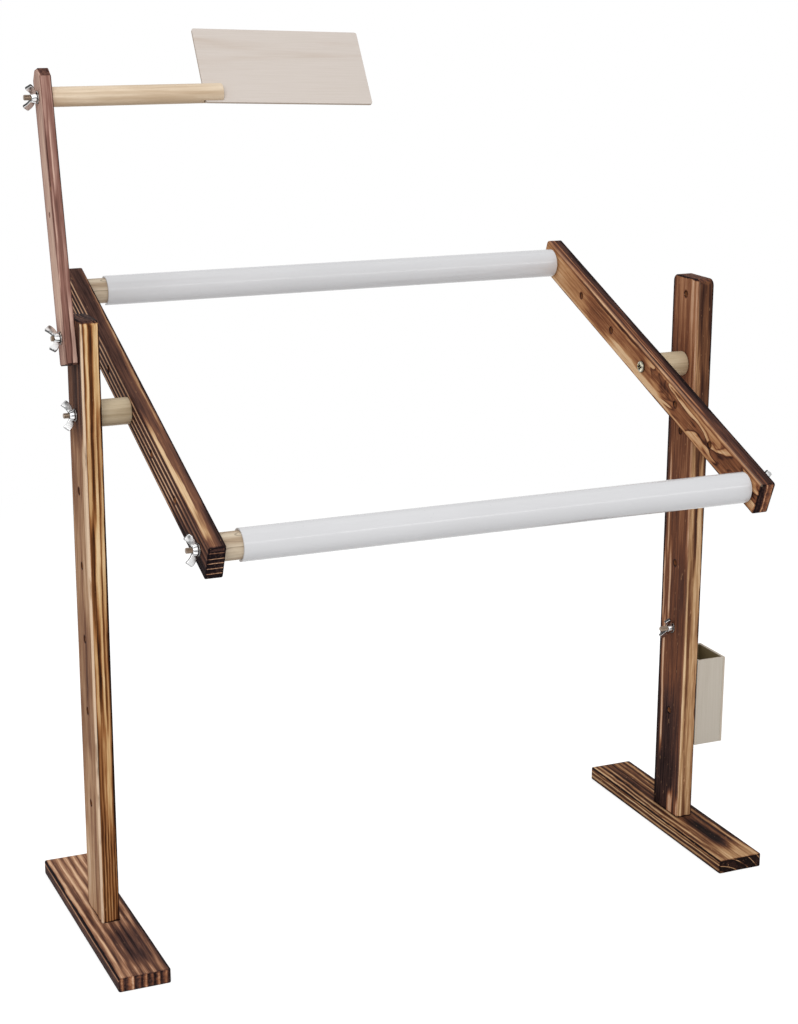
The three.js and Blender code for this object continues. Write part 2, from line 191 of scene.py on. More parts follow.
class Graph:
    """A node tree under construction."""

    def __init__(self, tree):
        self.tree = tree

    def put(self, node, inputs):
        for key, value in inputs.items():
            if isinstance(value, Value):
                self.tree.links.new(value.socket, node.inputs[key])
            else:
                node.inputs[key].default_value = value

    def node(self, kind, inputs=(), output=0, **settings):
        """Adds a node with its settings and inputs, and returns one of its outputs."""
        node = self.tree.nodes.new(f"ShaderNode{kind}")
        for key, value in settings.items():
            setattr(node, key, value)
        self.put(node, dict(inputs))
        return Value(self, node.outputs[output])

    def math(self, operation, *values, clamp=False):
        return self.node("Math", enumerate(values), operation=operation, use_clamp=clamp)

    def split(self, vector):
        return [self.node("SeparateXYZ", {0: vector}, axis) for axis in range(3)]

    def blend(self, masks, values):
        """The first value, replaced by each next one where its mask is 1."""
        result = values[0]
        for mask, value in zip(masks, values[1:]):
            result = self.node("Mix", {"Factor": mask, "A": result, "B": value}, "Result", data_type="FLOAT")
        return result

    def mix(self, factor, first, second, blend="MIX"):
        inputs = {"Factor": factor, "A": first, "B": second}
        return self.node("Mix", inputs, "Result", data_type="RGBA", blend_type=blend)

    def paint(self, colour, *coats):
        """A colour under coats of others, each a mask and a colour."""
        for mask, coat in coats:
            colour = self.mix(mask, colour, coat)
        return colour

    def ramp(self, value, stops):
        """Colours or greys, one after the other as the value goes through their places."""
        result = self.node("ValToRGB", {0: value}, "Color")
        elements = result.socket.node.color_ramp.elements
        while len(elements) < len(stops):
            elements.new(0.5)
        for element, (place, tone) in zip(elements, stops.items()):
            element.position = place
            element.color = tone if isinstance(tone, tuple) else (tone, tone, tone, 1)
        return result

    def seen(self):
        """1 where the camera looks, straight or by mirrors and glass, and 0 for light falling on things."""
        straight, mirrored, through = (self.node("LightPath", output=f"Is {kind} Ray")
                                       for kind in ("Camera", "Glossy", "Transmission"))
        return straight.math("MAXIMUM", mirrored).math("MAXIMUM", through)


class Shader(Graph):
    """A material, with the piece's own coordinates and normal at hand."""

    def __init__(self, name, roughness=0.5, metallic=0.0, specular=0.5):
        self.material = bpy.data.materials.new(name)
        self.material.use_nodes = True
        super().__init__(self.material.node_tree)
        self.bsdf = self.tree.nodes["Principled BSDF"]
        self.put(self.bsdf, {"Roughness": roughness, "Metallic": metallic, "Specular IOR Level": specular})
        self.place = self.node("TexCoord", output="Object")
        self.x, self.y, self.z = self.split(self.place)
        self.facing = self.split(self.node("TexCoord", output="Normal"))

    def noise(self, scale, offset=(0, 0, 0), detail=2, roughness=0.5, distortion=0.0):
        place = self.node("Mapping", {"Vector": self.place, "Location": offset, "Scale": scale})
        inputs = {"Vector": place, "Scale": 1.0, "Detail": detail, "Roughness": roughness,
                  "Distortion": distortion}
        return self.node("TexNoise", inputs, "Fac")

    def finish(self, colour, height, strength, depth, **inputs):
        """Sets the colour, a bump whose depth is in mm and other inputs, and returns the material."""
        normal = self.node("Bump", {"Strength": strength, "Distance": depth * MM, "Height": height})
        self.put(self.bsdf, {"Base Color": colour, "Normal": normal, **inputs})
        return self.material


# Mesh building


def new_object(name, data, place=None):
    thing = bpy.data.objects.new(name, data)
    bpy.context.collection.objects.link(thing)
    if place is not None:
        thing.matrix_world = place
    return thing


def add_piece(name, mesh, place, node, body, material):
    """A visible piece that stands for a node and rides on a body."""
    mesh.materials.clear()
    mesh.materials.append(material)
    thing = new_object(name, mesh, place)
    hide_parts(node)
    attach(thing, body)


def mesh_from(bm, name):
    mesh = bpy.data.meshes.new(name)
    bmesh.ops.recalc_face_normals(bm, faces=bm.faces)
    bm.to_mesh(mesh)
    bm.free()
    return mesh


def smooth(mesh, angle):
    mesh.shade_smooth()
    mesh.set_sharp_from_angle(angle=radians(angle))
    return mesh


def applied(thing):
    """The mesh of an object with its modifiers applied; the object is removed."""
    bpy.context.view_layer.update()
    evaluated = thing.evaluated_get(bpy.context.evaluated_depsgraph_get())
    mesh = bpy.data.meshes.new_from_object(evaluated)
    old = thing.data
    bpy.data.objects.remove(thing)
    if old.users == 0 and isinstance(old, bpy.types.Mesh):
        bpy.data.meshes.remove(old)
    return mesh


def cut(mesh, cutter):
    """A mesh with another one cut away."""
    body = new_object("cut_body", mesh)
    tool = new_object("cut_tool", cutter)
    modifier = body.modifiers.new("cut", "BOOLEAN")
    modifier.operation = "DIFFERENCE"
    modifier.solver = "EXACT"
    modifier.object = tool
    result = applied(body)
    bpy.data.objects.remove(tool)
    bpy.data.meshes.remove(cutter)
    return result


def arc(x, y, radius, start, sweep, steps):
    angles = [start + sweep * i / steps for i in range(steps + 1)]
    return [(x + radius * cos(angle), y + radius * sin(angle)) for angle in angles]


def circle(radius, sides, along=0.0):
    return arc(0, along, radius, 0, 2 * pi, sides)[:-1]


def ring(bm, points, height):
    return [bm.verts.new((x, y, height)) for x, y in points]


def skin(bm, rings, ends=False):
    """Faces from each ring of vertices to the next, and over both ends; a ring of one vertex is a tip."""
    for first, second in zip(rings, rings[1:]):
        sides = max(len(first), len(second))
        for i in range(sides):
            j = (i + 1) % sides
            if len(first) == 1:
                bm.faces.new((first[0], second[i], second[j]))
            elif len(second) == 1:
                bm.faces.new((first[i], first[j], second[0]))
            else:
                bm.faces.new((first[i], first[j], second[j], second[i]))
    for end in (rings[0], rings[-1]) if ends else ():
        bm.faces.new(end)


def lathe(name, profile, sides=48):
    """A closed body turned round Z from a list of (radius, height)."""
    bm = bmesh.new()
    rings = [ring(bm, circle(radius, sides) if radius > 0 else [(0, 0)], height)
             for radius, height in profile]
    skin(bm, rings + rings[:1] if profile[0][0] > 0 else rings)
    return mesh_from(bm, name)


def rounded_profile(radius, length, edge, bore=0.0, steps=4):
    """The profile of a cylinder with rounded rims, solid or with a bore."""
    lower = arc(radius - edge, edge, edge, -QUARTER, QUARTER, steps)
    upper = arc(radius - edge, length - edge, edge, 0, QUARTER, steps)
    return [(bore, 0)] + lower + upper + [(bore, length)]


def slot_mesh(half_x, half_y, bottom, top):
    """A block to cut away with."""
    bm = bmesh.new()
    corners = [(-half_x, -half_y), (half_x, -half_y), (half_x, half_y), (-half_x, half_y)]
    skin(bm, [ring(bm, corners, height) for height in (bottom, top)], True)
    return mesh_from(bm, "slot")


def plank_outline(half_width, bottom, top, low_radius, high_radius, steps=6):
    """An upright rectangle with rounded corners."""
    points = []
    corners = ((1, top, -high_radius), (-1, top, -high_radius), (-1, bottom, low_radius),
               (1, bottom, low_radius))
    for quarter, (side, height, inward) in enumerate(corners):
        radius = abs(inward)
        centre = (side * (half_width - radius), height + inward)
        points += arc(*centre, radius, quarter * QUARTER, QUARTER, steps) if radius else [centre]
    return points


def plate_mesh(name, outline, holes, thickness, edge):
    """A plate with rounded edges, pushed along X both ways from an outline in YZ."""
    curve = bpy.data.curves.new(name, "CURVE")
    curve.dimensions = "2D"
    curve.fill_mode = "BOTH"
    curve.bevel_depth = edge
    curve.bevel_resolution = 2
    curve.offset = -edge
    curve.extrude = thickness / 2 - edge
    for points in [outline] + [circle(radius, 32, height) for radius, height in holes]:
        spline = curve.splines.new("POLY")
        spline.points.add(len(points) - 1)
        spline.use_cyclic_u = True
        for point, (x, y) in zip(spline.points, points):
            point.co = (x, y, 0, 1)
    mesh = applied(new_object(name, curve))
    bpy.data.curves.remove(curve)
    bm = bmesh.new()
    bm.from_mesh(mesh)
    bpy.data.meshes.remove(mesh)
    bmesh.ops.remove_doubles(bm, verts=bm.verts, dist=1e-6)
    for vertex in bm.verts:
        vertex.co = Vector((vertex.co.z, vertex.co.x, vertex.co.y))
    return bm


def slice_mesh(bm, normal, half, step):
    """Cuts a mesh with planes along its normal, so that its faces can follow a relief."""
    count = max(1, round(2 * half / step))
    for i in range(1, count):
        bmesh.ops.bisect_plane(bm, geom=bm.verts[:] + bm.edges[:] + bm.faces[:], dist=1e-7,
                               plane_co=normal * (-half + 2 * half * i / count), plane_no=normal)


# Planks: own X is the thickness, own Y the width and own Z the grain

UPRIGHT = Matrix.Identity(3)
LYING = Matrix(((0, 0, 1), (1, 0, 0), (0, 1, 0))).transposed()

PLANK_EDGE = 1.3 * MM
RELIEF_DEPTH = 0.28 * MM
RELIEF_STEP = 6 * MM
RELIEF_LENGTH_STEP = 16 * MM


def leaning(angle):
    """Own Z leans back from the vertical by an angle."""
    return Matrix.Rotation(-angle, 3, "X")


def placed(rotation, origin):
    matrix = rotation.to_4x4()
    matrix.translation = origin
    return matrix


def relief(point, seed):
    """How deep brushing has worn the wood at a point, from 0 to 1."""
    wide = noise.noise(Vector((point.x * 55 + seed, point.y * 55, point.z * 9)))
    fine = noise.noise(Vector((point.x * 260, point.y * 260 + seed, point.z * 16)))
    return min(1.0, max(0.0, 0.5 + 0.45 * wide + 0.3 * fine))


def add_plank(node, body, rotation, origin, half, radii, seed, holes=(), scorched=True, steps=6):
    """A burnt and brushed plank; holes are (radius, height), and their mouths may be scorched."""
    half_thickness, half_width, half_length = half
    outline = plank_outline(half_width, -half_length, half_length, *radii, steps)
    bm = plate_mesh(node, outline, holes, 2 * half_thickness, PLANK_EDGE)
    slice_mesh(bm, Vector((0, 0, 1)), half_length, RELIEF_LENGTH_STEP)
    slice_mesh(bm, Vector((0, 1, 0)), half_width, RELIEF_STEP)
    bmesh.ops.recalc_face_normals(bm, faces=bm.faces)
    bm.normal_update()
    moves = [(v, v.normal * (-RELIEF_DEPTH * relief(v.co, seed))) for v in bm.verts]
    for vertex, move in moves:
        vertex.co += move
    heights = [height for radius, height in holes] if scorched else []
    wood = burnt_pine(f"{node}_wood", half, heights, **LOOKS[node])
    name = f"{node}_plank"
    add_piece(name, smooth(mesh_from(bm, name), 40), placed(rotation, origin), node, body, wood)


# Burnt and brushed pine: tones go from 0, bare latewood, to 1, char


def palette(*colours):
    """Five burns as ramp stops."""
    return dict(zip((0.0, 0.24, 0.48, 0.74, 1.0), (srgb(*colour) for colour in colours)))


GOLDEN = palette((234, 202, 158), (206, 166, 116), (158, 106, 64), (104, 62, 34), (38, 22, 16))
TAWNY = palette((228, 196, 156), (182, 140, 100), (118, 78, 54), (68, 44, 36), (26, 18, 17))
SIENNA = palette((234, 196, 154), (196, 144, 100), (143, 91, 62), (82, 50, 38), (28, 18, 17))
HEATHER = palette((234, 204, 172), (196, 156, 122), (147, 106, 80), (98, 66, 53), (44, 30, 30))
RUSSET = palette((228, 188, 156), (176, 124, 90), (126, 80, 58), (76, 52, 46), (28, 19, 20))
PLUM = palette((230, 190, 154), (174, 128, 99), (113, 78, 62), (71, 49, 45), (24, 17, 20))
UMBER = palette((224, 192, 152), (182, 142, 104), (124, 84, 64), (86, 60, 52), (36, 25, 25))
ROSE = palette((226, 192, 172), (180, 143, 130), (136, 97, 86), (88, 60, 54), (34, 24, 24))

# How one growth ring darkens from its pale start to its dark end
RING_PROFILE = {0: 0, .07: .42, .45: .55, .8: 1, .93: .9, 1: 0}

# Rings cut lengthwise: tan and brown islands with thin dark outlines
ISLAND_PROFILE = {0: .3, .33: .26, .365: .6, .39: .2, .44: .08, .47: .14, .485: .76, .51: .52, .57: .46,
    .595: .7, .62: .46, 1: .44}

# Streaks of the planks' faces: tones across a face, at heights in metres from the low to the
# high end; places and tones are in percent, and a single row at -1 holds for the whole face
LEFT_POST_FRONT = {
    -.27: {0: 35, 6: 85, 14: 40, 20: 86, 30: 36, 36: 90, 46: 38, 52: 85, 60: 40, 68: 90, 76: 42, 84: 85,
        92: 50, 100: 90},
    -.15: {0: 50, 8: 70, 14: 80, 25: 36, 35: 70, 45: 34, 55: 50, 65: 16, 78: 18, 85: 50, 92: 95, 100: 100},
    -.05: {0: 40, 8: 70, 20: 30, 30: 20, 38: 85, 48: 70, 55: 20, 62: 18, 68: 80, 74: 50, 80: 25, 90: 90,
        100: 100},
    .07: {0: 10, 4: 85, 9: 30, 20: 75, 34: 80, 42: 20, 62: 15, 70: 75, 76: 30, 88: 20, 93: 90, 100: 100},
    .17: {0: 20, 6: 72, 14: 60, 20: 25, 33: 20, 42: 75, 50: 70, 56: 20, 66: 15, 72: 78, 80: 40, 86: 20,
        100: 50},
    .29: {0: 2, 7: 10, 12: 70, 20: 62, 26: 20, 33: 5, 38: 30, 44: 85, 58: 75, 66: 30, 90: 22, 100: 70},
}
LEFT_POST_SIDE = {
    -.28: {0: 40, 15: 25, 30: 45, 40: 15, 60: 25, 80: 12, 100: 20},
    -.2: {0: 30, 10: 10, 20: 45, 35: 20, 50: 40, 60: 20, 80: 30, 100: 30},
    -.16: {0: 30, 15: 35, 30: 25, 50: 16, 70: 30, 100: 30},
    -.12: {0: 30, 25: 34, 40: 48, 50: 30, 70: 36, 100: 40},
    -.05: {0: 10, 10: 30, 30: 42, 45: 70, 55: 40, 80: 30, 100: 30},
    .07: {0: 0, 12: 5, 20: 30, 40: 22, 55: 35, 70: 22, 100: 30},
    .17: {0: 0, 15: 8, 20: 38, 40: 40, 50: 30, 60: 46, 80: 36, 100: 45},
    .24: {0: 70, 20: 78, 30: 50, 40: 82, 60: 70, 80: 60, 100: 70},
}
RIGHT_POST_FRONT = {
    -.3: {0: 5, 12: 30, 25: 10, 40: 55, 55: 20, 80: 25, 100: 40},
    -.2: {0: 30, 6: 5, 15: 15, 25: 50, 40: 30, 80: 20, 100: 30},
    -.13: {0: 30, 6: 5, 14: 10, 22: 50, 30: 50, 40: 22, 70: 16, 100: 28},
    -.05: {0: 40, 8: 12, 14: 20, 20: 50, 42: 46, 50: 20, 80: 16, 100: 25},
    .05: {0: 10, 10: 35, 25: 15, 40: 60, 50: 75, 60: 25, 80: 20, 93: 50, 100: 90},
    .2: {0: 20, 8: 50, 20: 40, 40: 62, 70: 50, 90: 60, 100: 90},
    .3: {0: 30, 10: 60, 30: 65, 60: 55, 80: 65, 100: 80},
}
RIGHT_POST_SIDE = {
    -.315: {0: 30, 6: 5, 12: 50, 20: 80, 28: 5, 40: 10, 48: 80, 70: 80, 100: 100},
    -.285: {0: 50, 5: 70, 30: 80, 60: 84, 90: 80, 100: 100},
    -.22: {0: 40, 5: 60, 30: 70, 60: 76, 74: 74, 79: -10, 82: -10, 86: 76, 100: 100},
    -.13: {0: 40, 4: 50, 20: 56, 50: 52, 78: 54, 82: -10, 85: -10, 89: 55, 94: 85, 100: 100},
    -.05: {0: 50, 10: 55, 30: 60, 50: 52, 64: 50, 68: 0, 71: 0, 75: 50, 87: 50, 90: -5, 93: -5, 96: 90,
        100: 100},
    .05: {0: 20, 6: 10, 10: 45, 20: 50, 30: 35, 50: 52, 76: 52, 82: 2, 86: 50, 93: 75, 100: 95},
    .2: {0: 30, 6: 10, 12: 50, 20: 20, 30: 52, 50: 42, 70: 48, 90: 55, 100: 90},
    .31: {0: 45, 8: 10, 16: 30, 25: 15, 35: 42, 50: 30, 65: 25, 80: 30, 92: 50, 100: 90},
}
LEFT_BAR_TOP = {
    -.262: {0: 55, 30: 48, 60: 60, 100: 95},
    -.235: {0: 30, 20: 8, 42: 30, 60: 55, 100: 95},
    -.18: {0: 5, 30: 2, 41: 8, 44: 55, 70: 50, 90: 55, 100: 95},
    -.1: {0: 15, 18: 5, 30: 10, 33: 55, 60: 58, 80: 52, 93: 60, 100: 95},
    0: {0: 20, 8: 60, 30: 72, 70: 62, 85: 25, 93: 60, 100: 95},
    .1: {0: 50, 20: 78, 60: 75, 75: 50, 85: 20, 92: 55, 100: 90},
    .25: {0: 55, 15: 75, 60: 78, 80: 70, 88: 15, 94: 50, 100: 90},
}
LEFT_BAR_SIDE = {
    -.25: {0: 20, 10: 75, 18: 30, 25: 80, 38: 30, 46: 80, 58: 40, 66: 85, 100: 95},
    -.1: {0: 30, 5: 70, 12: 75, 15.5: 0, 18.5: 0, 22: 75, 33: 72, 36.5: 0, 39.5: 0, 43: 75, 53: 75, 56: 0,
        59: 0, 63: 80, 70: 75, 73.5: 0, 76: 0, 80: 80, 88: 80, 91: 10, 94: 15, 100: 95},
    .15: {0: 55, 10: 65, 14: 5, 17: 5, 21: 75, 30: 75, 34: 5, 37: 5, 41: 75, 51: 75, 54: 5, 57: 10, 61: 80,
        71: 75, 74.5: 5, 77.5: 10, 81: 80, 88: 75, 91: 10, 94: 20, 100: 95},
}
LEFT_BAR_END = {-1: {0: 80, 10: 70, 16: 95, 18.5: 30, 20.5: 95, 34: 95, 36: -10, 38: 95, 48.5: 90, 50.5: 0,
    52.5: 95, 64: 92, 66: -10, 68: 95, 80: 88, 82: 5, 84: 95, 100: 100}}
RIGHT_BAR_END = {-1: {0: 95, 12: 80, 25: 90, 38: 70, 46: 12, 54: 55, 70: 45, 82: 30, 90: 60, 100: 90}}
RIGHT_BAR_TOP = {
    -.25: {0: 40, 10: 62, 30: 70, 42: 55, 50: 72, 80: 76, 100: 95},
    -.16: {0: 30, 12: 62, 50: 68, 80: 74, 100: 100},
    -.1: {0: 15, 10: 50, 22: 66, 34: 25, 42: 70, 60: 74, 100: 100},
    0: {0: 20, 10: 55, 20: 66, 28: 15, 36: 66, 45: 30, 50: 70, 80: 78, 100: 100},
    .2: {0: 25, 12: 45, 25: 66, 34: 60, 39: 25, 45: 66, 62: 72, 80: 85, 100: 100},
}
RIGHT_BAR_SIDE = {
    -.24: {0: 20, 10: 60, 30: 30, 60: 15, 100: 40},
    -.06: {0: 15, 8: 60, 14: 20, 60: 12, 90: 10, 100: 40},
    -.01: {0: 20, 8: 75, 14: 60, 20: 48, 60: 44, 70: 40, 76: 2, 94: 2, 100: 40},
    .04: {0: 10, 6: 75, 12: 60, 16: 25, 22: 48, 50: 46, 60: 40, 65: 2, 95: 2, 100: 50},
    .12: {0: 10, 6: 75, 12: 60, 16: 20, 22: 52, 60: 48, 85: 44, 95: 20, 100: 60},
    .17: {0: 15, 6: 62, 12: 50, 20: 34, 50: 30, 80: 26, 95: 15, 100: 50},
    .24: {0: 20, 6: 50, 12: 36, 20: 24, 50: 20, 80: 20, 95: 12, 100: 40},
}
LEFT_FOOT_TOP = {
    -.155: {0: 60, 8: 10, 15: 50, 22: 10, 30: 55, 38: 15, 45: 60, 53: 20, 60: 55, 68: 15, 76: 55, 84: 20,
        92: 50, 100: 80},
    -.09: {0: 70, 6: 40, 12: 8, 17: 70, 28: 20, 32: 75, 42: 40, 48: 80, 60: 60, 66: 82, 76: 50, 82: 80,
        90: 35, 95: 70, 100: 100},
    0: {0: 65, 9: 5, 14: 60, 22: 55, 27: 0, 34: 55, 43: 5, 49: 60, 60: 5, 66: 55, 74: 5, 80: 60, 88: 10,
        93: 65, 100: 90},
    .14: {0: 60, 8: 5, 13: 50, 20: 42, 25: 0, 34: 42, 42: 0, 48: 46, 58: 0, 65: 42, 72: 5, 78: 50, 88: 10,
        93: 60, 100: 90},
}
LEFT_FOOT_END = {-1: {0: 90, 6: 30, 12: 90, 20: 40, 27: 5, 31: 90, 40: 45, 44: 90, 52: 10, 56: 85, 64: 40,
    68: 90, 76: 15, 80: 85, 90: 30, 94: 80, 100: 95}}
LEFT_FOOT_SIDE = {-1: {0: 85, 30: 74, 66: 70, 74: 15, 82: 60, 100: 95}}
RIGHT_FOOT_TOP = {
    -.15: {0: 30, 8: 10, 15: 40, 30: 15, 45: 30, 60: 10, 75: 30, 90: 20, 100: 70},
    -.08: {0: 40, 5: 5, 10: 65, 18: 10, 24: 60, 35: 35, 45: 80, 60: 85, 70: 40, 78: 75, 86: 10, 92: 75,
        100: 90},
    .02: {0: 40, 5: 5, 10: 70, 16: 10, 22: 75, 30: 15, 36: 70, 46: 40, 50: 75, 60: 20, 66: 70, 74: 30, 80: 75,
        86: 10, 92: 70, 100: 90},
}
RIGHT_FOOT_SIDE = {-1: {0: 90, 15: 60, 30: 10, 42: 60, 55: 65, 65: 5, 75: 60, 90: 15, 100: 50}}
ARM_FRONT = {
    -.15: {0: 45, 20: 50, 36: 50, 46: 85, 54: 5, 66: 20, 85: 15, 100: 50},
    -.11: {0: 45, 25: 50, 45: 48, 54: 70, 62: 10, 70: 25, 85: 15, 100: 50},
    -.05: {0: 10, 8: 10, 16: 45, 50: 46, 58: 42, 85: 46, 100: 60},
    0: {0: 30, 10: 42, 18: 10, 26: 40, 50: 46, 85: 50, 100: 65},
    .06: {0: 45, 20: 50, 34: 46, 40: 6, 47: 14, 55: 40, 80: 46, 100: 65},
    .13: {0: 30, 15: 34, 40: 36, 60: 42, 85: 46, 100: 60},
}
ARM_SIDE = {
    -.13: {0: 50, 12: 40, 30: 20, 60: 26, 80: 30, 100: 50},
    -.08: {0: 20, 12: 10, 40: 4, 70: 12, 100: 30},
    .04: {0: 50, 12: 30, 25: 6, 60: 12, 80: 20, 100: 35},
    .13: {0: 30, 15: 20, 50: 16, 80: 24, 100: 40},
}

# How one kind of face burns: streaks are its table, and wave tells how far in mm they wander; without
# streaks base is the mean tone. gain is the contrast of the rings and line the strength of their pale lines.
Face = namedtuple("Face", "colours streaks wave gain line base", defaults=({}, 1.5, 0, 0, 0.4))


def bent_reach(shader, pith, wander, offset):
    """Distance from the log's centre, bent by slow noise along the grain."""
    slow = shader.noise((9, 9, 3), offset, 1)
    quick = shader.noise((34, 34, 9), offset[::-1])
    reach = distance(shader.x - pith[0], shader.y - pith[1])
    return reach + ((slow - 0.5) * (2 * wander * MM) + (quick - 0.5) * (0.5 * wander * MM))


def face_tone(shader, face, across, half, offset):
    """The tone of a kind of face before rings and fibres."""
    if not face.streaks:
        return face.base
    slow = shader.noise((12, 12, 7), offset, 1)
    quick = shader.noise((90, 90, 30), offset[::-1], 2, 0.6)
    ragged = shader.noise((150, 150, 12), offset, 3, 0.6)
    sway = (slow - 0.5) * (2 * face.wave * MM) + (quick - 0.5) * (1.3 * face.wave * MM)
    fraction = (across + sway + half) / (2 * half)
    height = shader.z + (ragged - 0.5) * (40 * MM)
    heights = list(face.streaks)
    masks = []
    for lower, upper in zip(heights, heights[1:]):
        margin = 0.2 * (upper - lower)
        masks.append(height.step(lower + margin, upper - margin))
    rows = [{place / 100: tone / 100 for place, tone in row.items()} for row in face.streaks.values()]
    return shader.blend(masks, [shader.ramp(fraction, row) for row in rows])


def burnt_pine(name, half, holes, pith, spacing, narrow, wide, end, seed, wander=6, burn=0.25,
               arris=(-1, -1, -1, -1), rim=2.4, end_char=1.0, fleck=0.25, islands=None, end_across=False):
    """Pine whose growth rings show as stripes, burnt in patches and charred along its edges.

    half is the plank's half thickness, half width and half length, holes are the heights of its scorched
    holes, pith is the log's centre in own X and Y, and spacing is the width of a ring in mm; arris tells for
    the four long edges (-X-Y, +X-Y, -X+Y, +X+Y) whether they are worn pale (1) or charred (-1), rim how wide
    in mm; end_char tells how charred the end edges are, islands is the height below which the wide faces
    show islands, and end_across lays the streaks of the end faces across the thickness.
    """
    shader = Shader(name, specular=0.02)
    x, y, z = shader.x, shader.y, shader.z
    offset = (seed * 1.7, seed * 2.3, seed * 3.1)
    faces = (narrow, wide, end)
    is_wide = abs(shader.facing[0]).step(0.55, 0.8)
    is_end = abs(shader.facing[2]).step(0.6, 0.8)

    def by_face(values):
        return shader.blend((is_wide, is_end), values)

    # Growth rings of uneven width, each with its own strength
    phase = bent_reach(shader, pith, wander, offset) / (spacing * MM)
    uneven = shader.node("TexNoise", {"W": phase + seed, "Scale": 0.8, "Detail": 1.0}, "Fac",
                         noise_dimensions="1D")
    phase = phase + uneven * 1.1
    ring_place = phase.math("FRACT")
    strength = shader.node("TexWhiteNoise", {"W": phase.math("FLOOR") + seed}, "Value", noise_dimensions="1D")
    gain = by_face([face.gain for face in faces]) * (strength * 0.6 + 0.7)

    # Burn tone, with islands, patches, strands and fibres
    across_end = (x, half[0]) if end_across else (y, half[1])
    tones = [face_tone(shader, face, *across, offset)
             for face, across in zip(faces, ((x, half[0]), (y, half[1]), across_end))]
    if islands is not None:
        field = shader.noise((20, 38, 13), offset, 2, 0.45, 0.6)
        inward = abs(y).step(half[1] - 3 * MM, half[1] - 6 * MM)
        below = (z + y * 2.0).step(islands + 15 * MM, islands - 15 * MM)
        tones[1] = shader.blend([below * inward], [tones[1], shader.ramp(field, ISLAND_PROFILE)])
    tone = by_face(tones) + gain * shader.ramp(ring_place, RING_PROFILE)
    patch = shader.noise((30, 30, 8), offset[::-1], 4, 0.62)
    tone = tone + (patch - 0.5) * (2 * burn)
    tone = (tone - 0.45) * 1.12 + 0.45
    strand = shader.noise((330, 330, 12), offset, 3, 0.65)
    fibre = shader.noise((900, 900, 30), offset, 2, 0.7)
    tone = tone + (strand - 0.5) * 0.75 + (fibre - 0.5) * 0.45

    # Pale latewood lines that the brush laid bare, coming and going along the grain
    fading = shader.noise((60, 60, 11), offset).step(0.36, 0.52, 0.15, 1.0)
    line = ring_place.math("MINIMUM", 1.0 - ring_place).step(0.10, 0.03) * fading
    line = line * by_face([face.line for face in faces]) * (strength * 0.45 + 0.55)
    tone = shader.blend([line], [tone, 0.08])

    # Edges: the second smallest distance to a face is the distance to the nearest edge
    away = [size - abs(axis) for size, axis in zip(half, (x, y, z))]
    long_edge = away[0].math("MAXIMUM", away[1])
    end_edge = away[2].math("MAXIMUM", away[0].math("MINIMUM", away[1]))
    ragged = shader.noise((110, 110, 22), offset, 3, 0.6)
    width = ragged.step(0.34, 0.66, 0.6 * rim * MM, 1.3 * rim * MM)
    right, far = (axis.math("GREATER_THAN", 0.0) for axis in (x, y))
    worn = shader.blend([far], [shader.blend([right], arris[:2]), shader.blend([right], arris[2:])])
    charred = (long_edge / width).step(1.0, 0.45).math("MULTIPLY", worn * -1.0, clamp=True)
    charred = charred.math("MAXIMUM", (end_edge / width).step(1.0, 0.45) * end_char)
    tone = tone + charred * 0.7
    bare = (long_edge.step(2.8 * MM, 1.8 * MM).math("MULTIPLY", worn, clamp=True)
            * ragged.step(0.3, 0.5, 0.35, 1.0))

    # Bolt holes: a thin dark ring round each mouth, and bare wood inside
    bore = 0.0
    if holes:
        along = abs(z - holes[0])
        for height in holes[1:]:
            along = along.math("MINIMUM", abs(z - height))
        from_hole = distance(along, y)
        halo = (from_hole + (strand - 0.5) * (3 * MM)).step(HOLE_RADIUS + 2.2 * MM, HOLE_RADIUS)
        tone = tone + halo * 0.45
        bore = (from_hole.step(HOLE_RADIUS + 0.5 * MM, HOLE_RADIUS + 0.2 * MM)
                * away[0].step(0.8 * MM, 1.6 * MM))

    # Worn edges, splinters and bores show bare wood
    burnt = [shader.ramp(tone, face.colours) for face in faces]
    scratch = shader.noise((420, 420, 75), offset[::-1], 2, 0.75).step(0.66, 0.74)
    colour = shader.paint(burnt[0], (is_wide, burnt[1]), (is_end, burnt[2]),
                          (bare * 0.9, srgb(244, 216, 186)), (scratch * fleck, srgb(214, 164, 120)),
                          (bore, srgb(134, 86, 56)))
    return shader.finish(colour, fibre * 0.8 - tone, 0.45, 0.35, Roughness=fibre.step(0.2, 0.8, 0.5, 0.75))


